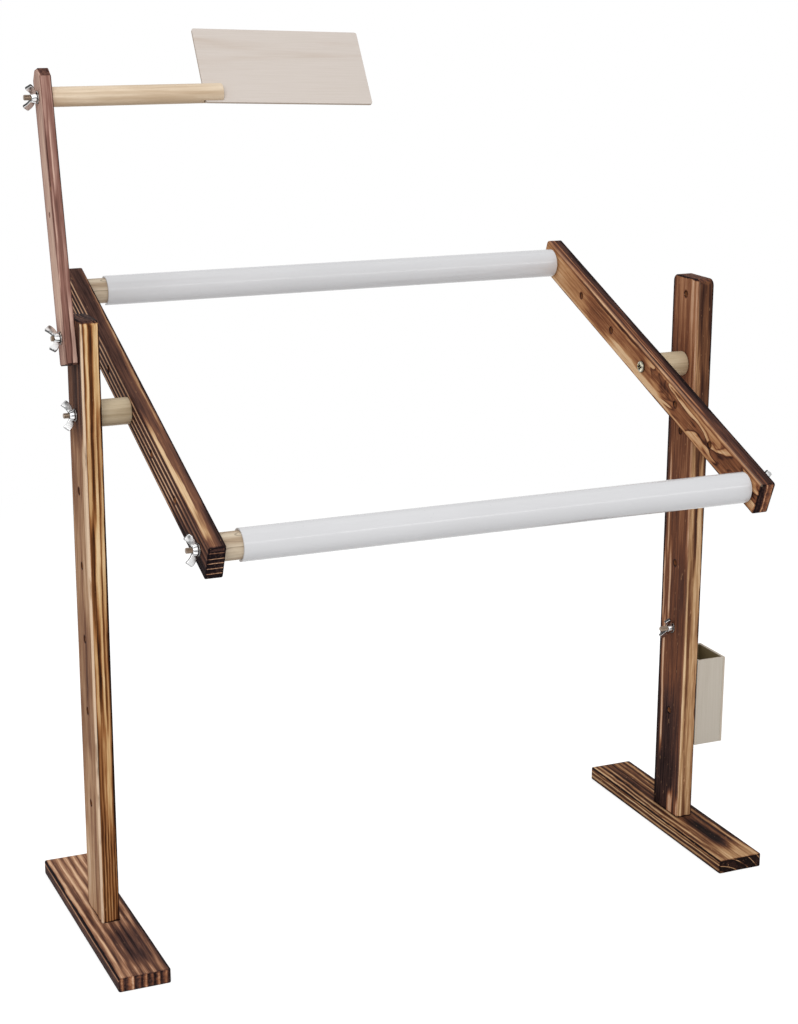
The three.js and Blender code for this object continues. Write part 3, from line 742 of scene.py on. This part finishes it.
LOOKS = {
    "left_foot": dict(
        pith=(0.03, 0.26), spacing=7, seed=3.1, burn=0.3, end_char=0.2, narrow=Face(PLUM, LEFT_FOOT_SIDE),
        wide=Face(PLUM, LEFT_FOOT_TOP, 2, 0.06, 0.1), end=Face(RUSSET, LEFT_FOOT_END, 1)),
    "right_foot": dict(
        pith=(-0.05, -0.035), spacing=8.5, seed=5.7, burn=0.32, end_char=0.3, fleck=0.5,
        narrow=Face(TAWNY, RIGHT_FOOT_SIDE, 1.5, 0.05), wide=Face(TAWNY, RIGHT_FOOT_TOP, 3, 0.1, 0.2),
        end=Face(TAWNY, gain=0.25, line=1.0, base=0.75)),
    "left_post": dict(
        pith=(0.07, 0.004), spacing=5.4, seed=8.2, burn=0.16, arris=(0.9, -1, -0.7, -1),
        narrow=Face(GOLDEN, LEFT_POST_FRONT, 1.2, 0.08, 0.1),
        wide=Face(HEATHER, LEFT_POST_SIDE, 4, 0.1, 0.15),
        end=Face(PLUM, gain=0.3, line=0.3, base=0.6)),
    "right_post": dict(
        pith=(0.055, 0.006), spacing=6.5, seed=12.6, burn=0.16, arris=(0.05, -0.8, -1, -1), fleck=0.55,
        narrow=Face(TAWNY, RIGHT_POST_FRONT, 1.2, 0.05, 0.1),
        wide=Face(RUSSET, RIGHT_POST_SIDE, 1.6, 0.06, 0.1),
        end=Face(RUSSET, gain=0.3, line=0.3, base=0.5)),
    "left_side_bar": dict(
        pith=(0.012, -0.075), spacing=7, seed=21.3, burn=0.16, arris=(-0.3, -0.8, -1, -1), end_char=0.5,
        narrow=Face(UMBER, LEFT_BAR_TOP, 2.5, 0.06), wide=Face(PLUM, LEFT_BAR_SIDE, 1.0, 0.05),
        end=Face(PLUM, LEFT_BAR_END, 0.8)),
    "right_side_bar": dict(
        pith=(-0.055, -0.025), spacing=8.5, seed=27.9, burn=0.16, arris=(0.15, -1, -0.6, -1), end_char=0.5,
        wander=11, islands=-30 * MM, end_across=True, narrow=Face(RUSSET, RIGHT_BAR_TOP, 1.2, 0.05),
        wide=Face(SIENNA, RIGHT_BAR_SIDE, 3.5, 0.05), end=Face(RUSSET, RIGHT_BAR_END, 4, 0.05)),
    "pattern_arm": dict(
        pith=(0.04, 0.02), spacing=7.5, seed=33.3, burn=0.14, arris=(-0.4, -0.6, -1, -1), rim=1.4,
        narrow=Face(ROSE, ARM_FRONT, 1, 0.04), wide=Face(ROSE, ARM_SIDE, 2, 0.04),
        end=Face(PLUM, gain=0.2, line=0.3, base=0.8)),
}

FOOT_RADIUS = 2.5 * MM
POST_RADII = (0.6 * MM, 8 * MM)
LOW_HOLE = 145 * MM
BAR_STEPS = 3
BAR_MARGIN = 24 * MM
BAR_WIDTH = 38 * MM
BAR_RADII = (3 * MM, 5 * MM)
ARM_WIDTH = 30 * MM
ARM_MARGIN = 28 * MM
ARM_MIDDLE_HOLE = 123 * MM
ARM_MIDDLE_HOLE_RADIUS = 2.5 * MM
ARM_RADII = (2 * MM, 9 * MM)


def add_planks():
    foot_half = (high("left_foot") - low("left_foot")) / 2
    post_half = (high("left_post") - low("left_post")) / 2
    bar_half = (span("left_side_bar")[1] / 2, BAR_WIDTH / 2, BAR_STEPS * HOLE_PITCH + BAR_MARGIN)
    post_steps = round((ARM_PIVOT.z - BOX_BOLT.z) / HOLE_PITCH)
    for side in SIDES:
        # The seeds of the relief differ by the length of the side's name
        node = f"{side}_foot"
        add_plank(node, "stand", LYING, middle(node), (foot_half.z, foot_half.x, foot_half.y),
                  (FOOT_RADIUS, FOOT_RADIUS), len(side))

        node = f"{side}_post"
        centre = middle(node)
        heights = [BOX_BOLT.z + i * HOLE_PITCH for i in range(post_steps + 1)] + [LOW_HOLE]
        add_plank(node, "stand", UPRIGHT, centre, post_half[:], POST_RADII, 7 + len(side),
                  [(HOLE_RADIUS, height - centre.z) for height in heights])

        node = f"{side}_side_bar"
        add_plank(node, "scroll_frame", leaning(QUARTER - FRAME_TILT), (middle(node).x, PIVOT.y, PIVOT.z),
                  bar_half, BAR_RADII, 15 + len(side),
                  [(HOLE_RADIUS, i * HOLE_PITCH) for i in range(-BAR_STEPS, BAR_STEPS + 1)])

    node = "pattern_arm"
    reach = (ROD_AXIS - ARM_PIVOT).length
    origin = (ROD_AXIS + ARM_PIVOT) / 2
    origin.x = middle(node).x
    holes = [(HOLE_RADIUS, -reach / 2), (ARM_MIDDLE_HOLE_RADIUS, ARM_MIDDLE_HOLE - reach / 2),
             (HOLE_RADIUS, reach / 2)]
    add_plank(node, node, leaning(ARM_LEAN), origin,
              (span(node)[1] / 2, ARM_WIDTH / 2, reach / 2 + ARM_MARGIN),
              ARM_RADII, 31, holes, scorched=False, steps=1)


# Turned pieces: own Z runs along the row's X axis


def along_x(x, point, side=1, turn=0.0):
    """Own Z points out to a side, and own X is upright, turned towards the back by an angle."""
    out = Vector((side, 0, 0))
    upright = Vector((0, sin(turn), cos(turn)))
    matrix = Matrix((upright, out.cross(upright), out)).transposed().to_4x4()
    matrix.translation = Vector((x, point.y, point.z))
    return matrix


def pale_wood(name, base, dark, seed, lines=0.0):
    """Bare turned wood with fine rays, darker streaks and, with lines, a few thin dark growth lines."""
    shader = Shader(name, roughness=0.6)
    offset = (seed, seed * 1.9, seed * 0.7)
    slow = shader.noise((95, 95, 5.5), offset, 3, 0.6)
    fine = shader.noise((1100, 1100, 30), offset, 2, 0.7)
    pores = shader.noise((2400, 2400, 160), offset[::-1], 1)
    bent = shader.noise((46, 46, 12), offset, 1)
    colour = shader.mix(slow.step(0.42, 0.66) * 0.75, base, dark)
    colour = shader.mix(0.7, colour, shader.ramp(fine, {0.3: (0.86, 0.84, 0.80, 1), 0.6: 1}), "MULTIPLY")
    nearest = abs((bent * 9.0).math("FRACT") - 0.5)
    colour = shader.paint(colour, (pores.step(0.62, 0.72) * 0.3, dark),
                          (nearest.step(0.07, 0.02) * lines, srgb(92, 76, 56)),
                          (abs(shader.facing[2]).step(0.7, 0.9) * 0.35, dark))
    return shader.finish(colour, fine, 0.25, 0.12)


def white_plastic():
    shader = Shader("sleeve_plastic", roughness=0.16, specular=0.4)
    cloud = shader.noise((30, 30, 6), detail=3)
    speck = shader.noise((700, 700, 260), roughness=0.6).step(0.74, 0.78)
    tone = shader.ramp(cloud, {0.3: srgb(211, 211, 213), 0.7: srgb(217, 217, 219)})
    return shader.finish(shader.paint(tone, (speck * 0.5, srgb(140, 140, 146))), cloud, 0.06, 0.4)


ROLLER_RADIUS = 14 * MM
SLEEVE_INNER = ROLLER_RADIUS + GAP
SLEEVE_WALL = 2.2 * MM
SLEEVE_EDGE = 0.35 * MM
SLEEVE_MOUTH = radians(70)
SLEEVE_MOUTH_TURN = radians(30)


def sleeve_mesh(length, arc_steps=72, lip_steps=6):
    """A C-section tube along Z from 0, with rounded lips; its mouth looks along -X."""
    inner, outer = SLEEVE_INNER, SLEEVE_INNER + SLEEVE_WALL
    centre_radius = (inner + outer) / 2
    start = pi + SLEEVE_MOUTH / 2
    sweep = 2 * pi - SLEEVE_MOUTH

    def lip(angle, first):
        centre = (centre_radius * cos(angle), centre_radius * sin(angle))
        return arc(*centre, SLEEVE_WALL / 2, first, pi, lip_steps)[1:-1]

    section = arc(0, 0, outer, start, sweep, arc_steps) + lip(start + sweep, start + sweep)
    section += arc(0, 0, inner, start + sweep, -sweep, arc_steps) + lip(start, start + pi)
    bm = bmesh.new()
    rings = []
    for height, inset in ((0, SLEEVE_EDGE), (SLEEVE_EDGE, 0), (length - SLEEVE_EDGE, 0),
                          (length, SLEEVE_EDGE)):
        points = []
        for x, y in section:
            reach = hypot(x, y)
            scale = 1 + (inset if reach < centre_radius else -inset) / reach
            points.append((x * scale, y * scale))
        rings.append(ring(bm, points, height))
    skin(bm, rings)
    lips = lip_steps - 1
    last = 2 * (arc_steps + 1) + lips
    for end in (rings[0], rings[-1]):
        for i in range(arc_steps):
            far = last - 1 - i
            bm.faces.new((end[i], end[i + 1], end[far - 1], end[far]))
        bm.faces.new(end[arc_steps:arc_steps + lips + 2])
        bm.faces.new(end[last - 1:last + lips] + end[:1])
    return smooth(mesh_from(bm, "sleeve"), 40)


def add_rollers():
    plastic = white_plastic()
    for name, point in ROLLERS.items():
        body = f"{name}_roller"
        node = f"{body}_dowel"
        start, length = span(node)
        dowel = smooth(lathe(node, rounded_profile(ROLLER_RADIUS, length, 1 * MM), 64), 35)
        wood = pale_wood(f"{body}_grain", srgb(212, 196, 172), srgb(160, 134, 106),
                         4 + length + len(name), 0.45)
        add_piece(f"{body}_wood", dowel, along_x(start, point), node, body, wood)

        node = f"{body}_sleeve"
        start, length = span(node)
        place = along_x(start, point, turn=-SLEEVE_MOUTH_TURN)
        add_piece(f"{name}_sleeve_clip", sleeve_mesh(length), place, node, body, plastic)


def add_spacers():
    for side, sign in SIDES.items():
        node = f"{side}_spacer"
        start, length = span(node, sign)
        profile = rounded_profile(ROLLER_RADIUS, length, 1.8 * MM, HOLE_RADIUS, 5)
        wood = pale_wood(f"{node}_grain", srgb(200, 182, 152), srgb(158, 136, 104), 7.3 * sign)
        add_piece(f"{node}_wood", smooth(lathe(node, profile, 64), 35), along_x(start, PIVOT, sign), node,
                  "stand", wood)


# Hardware: own Z points away from the wood and own X is the wing direction

THREAD_RADIUS = 3 * MM
THREAD_DEPTH = 0.5 * MM
THREAD_PITCH = 1 * MM
THREAD_CHAMFER = 0.7 * MM
THREAD_LENGTH = {"bolt": 24 * MM, "stud": 22 * MM}
HEAD_RADIUS = 6.7 * MM
HEAD_HEIGHT = 4.2 * MM
WASHER_RADIUS = 6.5 * MM
WASHER_BORE = 3.4 * MM

# Each fastener's axis, side, kind, the bodies of its shaft and its washer, and how far its nut is turned from
# upright, in degrees with the top wing towards the back
FASTENERS = {
    "left_pivot": (PIVOT, -1, "bolt", "stand", "stand", 20),
    "right_pivot": (PIVOT, 1, "bolt", "stand", "stand", 0),
    "arm": (ARM_PIVOT, -1, "bolt", "stand", "pattern_arm", 45),
    "box": (BOX_BOLT, -1, "bolt", "stand", "stand", -29),
    "rod": (ROD_AXIS, -1, "stud", "pattern_holder", "pattern_holder", -35),
}
for name, turns in {"upper": (8, 70), "lower": (12, 4)}.items():
    for (side, sign), turn in zip(SIDES.items(), turns):
        FASTENERS[f"{name}_roller_{side}"] = (ROLLERS[name], sign, "stud", f"{name}_roller", "scroll_frame",
                                              turn)

# Painted reflections of bright metal: its tones as its surface turns from own X or Z towards own Y
PAINTED_REFLECTION_BANDS = {0.0: 88, 0.22: 50, 0.42: 76, 0.58: 236, 0.8: 250, 0.9: 110, 0.97: 196, 1.0: 226}


def zinc(name, tint=(1.0, 1.0, 1.0), level=1.0, threaded=False):
    """Bright plated metal with painted reflections: its tone changes in bands with the direction of its
    surface.

    If threaded it is a bolt's or stud's, with a brownish shank and a head with painted shade in its cross
    recess and round its rim.
    """
    shader = Shader(name, metallic=1.0)
    cast = shader.noise((190, 190, 190), detail=1, roughness=0.4)
    # Painted reflections: the surface's own direction, wavered by noise, picks a band of tone
    turned = abs(shader.facing[1]) + shader.facing[0] * 0.1 + (cast - 0.5) * 0.4
    bands = {place: srgb(*(level * tone * part for part in tint)) for place, tone in PAINTED_REFLECTION_BANDS.items()}
    colour = shader.ramp(turned, bands)
    if threaded:
        from_axis = distance(shader.x, shader.y)
        on_head = shader.z.step(0.5 * MM, 0.0)
        # Painted shade on the head: the cross recess dark across the crown, and a dark ring round the rim
        cross = abs(shader.x).math("MINIMUM", abs(shader.y)).step(1.5 * MM, 0.9 * MM)
        colour = shader.paint(
            colour, (0.75, srgb(254, 249, 224)), (shader.z.step(1 * MM, 3 * MM) * 0.85, srgb(112, 86, 72)),
            (from_axis.step(5.4 * MM, 4.6 * MM) * cross * on_head, srgb(44, 36, 30)),
            (from_axis.step(5.0 * MM, 6.4 * MM, 0.0, 0.85) * on_head, srgb(60, 52, 42)))
    return shader.finish(colour, cast, 0.15, 0.1, Roughness=cast.step(0.3, 0.7, 0.16, 0.3))


def threaded_bar(length, thread_length, sides=28):
    """A bar along Z from 0 with a real helical thread up to its chamfered end."""
    bm = bmesh.new()
    thread_start = length - thread_length
    count = max(2, round(thread_length / (THREAD_PITCH / 5)))
    rings = [ring(bm, circle(THREAD_RADIUS, sides), height) for height in (0, thread_start)]
    for step in range(1, count + 1):
        height = thread_start + thread_length * step / count
        points = []
        for i, (x, y) in enumerate(circle(1.0, sides)):
            wave = abs(((height / THREAD_PITCH - i / sides) % 1.0) * 2 - 1)
            radius = min(THREAD_RADIUS - THREAD_DEPTH * wave,
                         THREAD_RADIUS - THREAD_CHAMFER + (length - height))
            points.append((radius * x, radius * y))
        rings.append(ring(bm, points, height))
    skin(bm, rings, True)
    return mesh_from(bm, "threaded_bar")


def joined(name, meshes):
    bm = bmesh.new()
    for mesh in meshes:
        bm.from_mesh(mesh)
        bpy.data.meshes.remove(mesh)
    return mesh_from(bm, name)


def pan_head(crown_steps=6):
    """A pan head whose seat is at Z = 0, with a cross recess in its crown."""
    profile = [(0, -HEAD_HEIGHT)]
    for i in range(1, crown_steps + 1):
        angle = QUARTER * i / crown_steps
        profile.append((HEAD_RADIUS * sin(angle) ** 0.85, -HEAD_HEIGHT * (0.25 + 0.75 * cos(angle))))
    head = lathe("pan_head", profile + [(HEAD_RADIUS - 0.3 * MM, 0), (0, 0)], 40)
    for turn in (0.5, 1.5):
        slot = slot_mesh(4 * MM, 0.9 * MM, -HEAD_HEIGHT - 1 * MM, -HEAD_HEIGHT + 2.4 * MM)
        slot.transform(Matrix.Rotation(turn * QUARTER, 4, "Z"))
        head = cut(head, slot)
    return head


def wing_outline(steps=10):
    """One wing from its root to its tip and back, as (distance from the axis, height) in mm."""
    def curve(a, b, c):
        times = [i / steps for i in range(steps + 1)]
        return [tuple((1 - t) ** 2 * p + 2 * t * (1 - t) * q + t * t * r for p, q, r in zip(a, b, c))
                for t in times]

    lower = curve((2.0, 0.5), (10.4, 0.5), (15.2, 6.2))
    return lower + [(15.7, 7.3), (11.7, 12.2), (10.5, 11.9)] + curve((10.5, 11.9), (7.2, 7.0), (2.0, 5.4))[1:]


def wing_nut_mesh(half_thickness=1.7 * MM, height=5.4 * MM):
    """A cast wing nut: hub and wings melted together, then bored."""
    bm = bmesh.new()
    for sign in (-1, 1):
        skin(bm, [[bm.verts.new((sign * x * MM, y, z * MM)) for x, z in wing_outline()]
                  for y in (-half_thickness, half_thickness)], True)
    hub = lathe("hub", [(0, 0), (5.4 * MM, 0), (5.4 * MM, 1 * MM), (4.8 * MM, 4.2 * MM), (4.5 * MM, height),
                        (0, height)])
    rough = new_object("nut_rough", joined("nut_rough", [mesh_from(bm, "wings"), hub]))
    melt = rough.modifiers.new("melt", "REMESH")
    melt.mode = "VOXEL"
    melt.voxel_size = 0.28 * MM
    soften = rough.modifiers.new("soften", "SMOOTH")
    soften.factor = 0.6
    soften.iterations = 10
    rough.modifiers.new("thin", "DECIMATE").ratio = 0.35
    bore = lathe("bore", [(0, -1 * MM), (4.1 * MM, -1 * MM), (3.1 * MM, 0.6 * MM),
                          (3.1 * MM, height - 0.5 * MM), (4.2 * MM, height + 1 * MM),
                          (0, height + 1 * MM)], 40)
    return smooth(cut(applied(rough), bore), 35)


def add_fasteners(nut_steel):
    steels = {"bolt": zinc("bolt_steel", (1.0, 0.97, 0.88), 1.0, True),
              "stud": zinc("stud_steel", (1.0, 0.92, 0.84), 0.7, True)}
    washer_steel = zinc("washer_steel", (1.0, 0.98, 0.96), 0.9)
    nut_mesh = wing_nut_mesh()
    for name, (point, sign, kind, shaft_body, washer_body, degrees) in FASTENERS.items():
        node = f"{name}_{kind}"
        start, length = span(node, sign)
        head = [pan_head()] if kind == "bolt" else []
        if head:
            start += sign * HEAD_HEIGHT
            length -= HEAD_HEIGHT
        shaft = smooth(joined(node, head + [threaded_bar(length, THREAD_LENGTH[kind])]), 30)
        add_piece(f"{node}_steel", shaft, along_x(start, point, sign), node, shaft_body,
                  steels[kind])

        node = f"{name}_washer"
        start, length = span(node)
        washer = smooth(lathe(node, rounded_profile(WASHER_RADIUS, length, 0.25 * MM, WASHER_BORE, 3), 40),
                        35)
        add_piece(f"{node}_steel", washer, along_x(start, point), node, washer_body,
                  washer_steel)

        node = f"{name}_wing_nut"
        place = along_x(axis_point(f"{node}_turn").x, axis_point(f"{node}_turn"), sign, radians(degrees))
        add_piece(f"{node}_cast", nut_mesh.copy(), place, node, node, nut_steel)
    bpy.data.meshes.remove(nut_mesh)


def cross_recess(size=3.6 * MM, depth=2.0 * MM, width=1.0 * MM):
    """Two tapering slots that cross, to cut away upwards from just below Z = 0."""
    bm = bmesh.new()
    for turn in (0, QUARTER):
        c, s = cos(turn), sin(turn)
        corners = []
        for height, reach, half in ((-1 * MM, size, width / 2), (depth, size * 0.35, width * 0.3)):
            for x, y in ((-reach, -half), (reach, -half), (reach, half), (-reach, half)):
                corners.append(bm.verts.new((x * c - y * s, x * s + y * c, height)))
        for face in ((0, 1, 2, 3), (4, 5, 6, 7), (0, 1, 5, 4), (1, 2, 6, 5), (2, 3, 7, 6), (3, 0, 4, 7)):
            bm.faces.new([corners[k] for k in face])
    return mesh_from(bm, "recess")


def add_foot_screws(steel, head=4.3 * MM, shank=2.1 * MM):
    for side in SIDES:
        for end in ("front", "rear"):
            node = f"{side}_foot_{end}_screw"
            bottom, length = low(node).z, high(node).z - low(node).z
            body = lathe(node, [(0, 0), (head - 0.2 * MM, 0), (head, 0.3 * MM), (shank, 2.4 * MM),
                                (shank, length - 5 * MM), (0, length)], 32)
            place = Matrix.Translation((middle(node).x, middle(node).y, bottom))
            screw = smooth(cut(body, cross_recess()), 30)
            add_piece(f"{node}_steel", screw, place, node, "stand", steel)


# Pattern holder: rod, slot and board

ROD_RADIUS = 10 * MM
SLOT_DEPTH = 21 * MM
BOARD_INSET = 18.9 * MM
BOARD_WIDTH = 183.6 * MM
BOARD_HEIGHT = 90.7 * MM
BOARD_BELOW = 11.3 * MM
BOARD_RADIUS = 2.5 * MM


def plywood(name, base, streak, seed, along, core, inner=None):
    """Thin plywood: faint grain along an axis on its faces, and a middle ply of another colour on its edges.

    inner is the side of own X, 1 or -1, that looks into a box, the height of the rim and the colour inside
    below it: the wood's brownish tone darkened as painted shade.
    """
    shader = Shader(name, roughness=0.62)
    scale, fine_scale = [38.0] * 3, [900.0] * 3
    scale[along], fine_scale[along] = 3.0, 14.0
    offset = (seed, seed * 0.6, seed * 1.4)
    slow = shader.noise(scale, offset, 4, 0.55, 0.4)
    fine = shader.noise(fine_scale, offset, 2, 0.7)
    colour = shader.mix(slow.step(0.5, 0.72) * 0.5, base, streak)
    colour = shader.mix(0.8, colour, shader.ramp(fine, {0.3: (0.93, 0.92, 0.90, 1), 0.6: 1}), "MULTIPLY")
    on_edge = abs(shader.facing[0]).step(0.8, 0.5)
    coats = [(abs(shader.x).step(0.75 * MM, 0.45 * MM) * on_edge * 0.8, core)]
    if inner:
        side, rim, shade = inner
        # Inside the box below the rim: painted shade over the wood's brownish tone
        coats.append(((shader.facing[0] * side).step(0.5, 0.8) * shader.z.step(rim, rim - 1.5 * MM), shade))
    return shader.finish(shader.paint(colour, *coats), fine, 0.2, 0.1)


def add_pattern_holder():
    node = "pattern_rod"
    start, length = span(node)
    body = lathe(node, rounded_profile(ROD_RADIUS, length, 0.8 * MM), 64)
    slot = slot_mesh(ROD_RADIUS + 1 * MM, PLY / 2 + GAP, length - SLOT_DEPTH, length + 1 * MM)
    wood = pale_wood("pattern_rod_grain", srgb(228, 208, 182), srgb(186, 158, 126), 11.4)
    add_piece("pattern_rod_wood", smooth(cut(body, slot), 35), along_x(start, ROD_AXIS, 1, BOARD_LEAN), node,
              "pattern_holder", wood)

    # The board's own X is its thickness, own Y its width and own Z its height
    node = "pattern_board"
    outline = plank_outline(BOARD_WIDTH / 2, -BOARD_BELOW, BOARD_HEIGHT - BOARD_BELOW, BOARD_RADIUS,
                            BOARD_RADIUS)
    bm = plate_mesh(node, [(y + BOARD_WIDTH / 2, z) for y, z in outline], [], PLY, 0.25 * MM)
    rotation = leaning(BOARD_LEAN) @ Matrix.Rotation(-QUARTER, 3, "Z") @ Matrix.Rotation(-BOARD_DROOP, 3, "X")
    place = placed(rotation, (high("pattern_rod").x - BOARD_INSET, ROD_AXIS.y, ROD_AXIS.z))
    look = plywood("pattern_board_birch", srgb(209, 199, 191), srgb(184, 164, 146), 2.7, 1,
                   srgb(168, 142, 116))
    add_piece("pattern_board_ply", smooth(mesh_from(bm, node), 40), place, node, "pattern_holder",
              look)


# Thread box: each panel, and the side of its own X that looks into the box

TONGUE_HALF = 20 * MM
TONGUE_RADIUS = 8 * MM
BOX_PANELS = {"box_back_plate": 1, "box_outer_panel": -1, "box_front_panel": 1, "box_rear_panel": -1,
              "box_bottom": 1}


def tongued_outline(half_width, half_height, rim):
    """As wide as the box up to its rim, with a narrower rounded tongue above."""
    tongue = plank_outline(TONGUE_HALF, rim, half_height, 0, TONGUE_RADIUS)[:-2]
    feet = [(-half_width, rim), (-half_width, -half_height), (half_width, -half_height), (half_width, rim)]
    return tongue + [(-TONGUE_HALF, rim)] + feet + [(TONGUE_HALF, rim)]


def add_thread_box():
    for node, inner_side in BOX_PANELS.items():
        size = high(node) - low(node)
        centre = middle(node)
        thin = min(range(3), key=lambda axis: size[axis])
        rotation, width, height = ((UPRIGHT, size.y, size.z),
                                   (Matrix.Rotation(QUARTER, 3, "Z"), size.x, size.z),
                                   (LYING, size.x, size.y))[thin]
        rim = high("box_front_panel").z - centre.z
        holes = []
        outline = plank_outline(width / 2, -height / 2, height / 2, 0, 0)
        if node == "box_back_plate":
            holes = [(HOLE_RADIUS, BOX_BOLT.z - centre.z)]
            outline = tongued_outline(width / 2, height / 2, rim)
        mesh = mesh_from(plate_mesh(node, outline, holes, size[thin], 0.2 * MM), node)
        # The colour inside the box: the wood's brownish tone, darkened as painted shade
        inner = (inner_side, 1.0 if node == "box_bottom" else rim, srgb(122, 106, 74))
        look = plywood(f"{node}_face", srgb(193, 184, 171), srgb(178, 167, 152), 6.1, 2,
                       srgb(190, 172, 152), inner)
        add_piece(f"{node}_ply", smooth(mesh, 40), placed(rotation, centre), node, "thread_box",
                  look)


# Floor, light and backdrop

FLOOR_HALF = 60
FLOOR_GREY = (0.6, 0.6, 0.6, 1)
WHITE_LIFT = 0.66
NEAR_FLOOR = 0.9
FAR_FLOOR = 1.8
SKY_LIGHT = 0.62

# Each lamp's place, what it looks at, its size, its power and, for a strip, its height
MIDDLE = (0, 0, 0.45)
LAMPS = {
    "key": ((-1.6, -2.6, 2.2), MIDDLE, 2.0, 43, None),
    "fill": ((2.6, -1.6, 1.2), MIDDLE, 2.4, 10, None),
    "strip": ((1.3, -3.1, 1.67), (0, 0, 0.57), 2.4, 9, 0.25),
    "top": ((0.2, 0.6, 3.0), MIDDLE, 2.6, 6, None),
}


def add_floor():
    """Paper that keeps the object's shadow near it and is plain white further away."""
    bm = bmesh.new()
    bm.faces.new(ring(bm, [(x * FLOOR_HALF, y * FLOOR_HALF)
                           for x, y in ((-1, -1), (1, -1), (1, 1), (-1, 1))], 0))
    floor = new_object("floor", mesh_from(bm, "floor"))
    shader = Shader("floor_paper", roughness=0.9, specular=0.0)
    shader.put(shader.bsdf, {"Base Color": FLOOR_GREY})
    seen = shader.seen()
    lift = shader.node("Emission", {"Strength": seen * WHITE_LIFT})
    paper = shader.node("AddShader", {0: Value(shader, shader.bsdf.outputs[0]), 1: lift})
    far = distance(shader.x, shader.y).step(NEAR_FLOOR, FAR_FLOOR) * seen
    surface = shader.node("MixShader", {0: far, 1: paper, 2: shader.node("Emission")})
    shader.put(shader.tree.nodes["Material Output"], {"Surface": surface})
    floor.data.materials.append(shader.material)


def add_world():
    world = bpy.data.worlds.new("studio")
    bpy.context.scene.world = world
    world.use_nodes = True
    graph = Graph(world.node_tree)
    strength = graph.seen().step(0.0, 1.0, SKY_LIGHT, 1.0)
    graph.put(graph.tree.nodes["Background"], {"Color": (1, 1, 1, 1), "Strength": strength})


def add_lamps():
    for name, (place, target, size, power, height) in LAMPS.items():
        data = bpy.data.lights.new(name, "AREA")
        data.shape = "RECTANGLE" if height else "DISK"
        data.size = size
        if height:
            data.size_y = height
        data.energy = power
        lamp = new_object(name, data)
        lamp.rotation_mode = "QUATERNION"
        lamp.rotation_quaternion = (Vector(target) - Vector(place)).to_track_quat("-Z", "Y")
        lamp.location = place


bpy.context.scene.view_settings.view_transform = "Standard"
add_camera()
add_world()
add_lamps()
add_floor()
add_planks()
add_rollers()
add_spacers()
# Bright zinc with painted reflections, for the wing nuts and foot screws
bright_zinc = zinc("bright_zinc")
add_fasteners(bright_zinc)
add_foot_screws(bright_zinc)
add_pattern_holder()
add_thread_box()
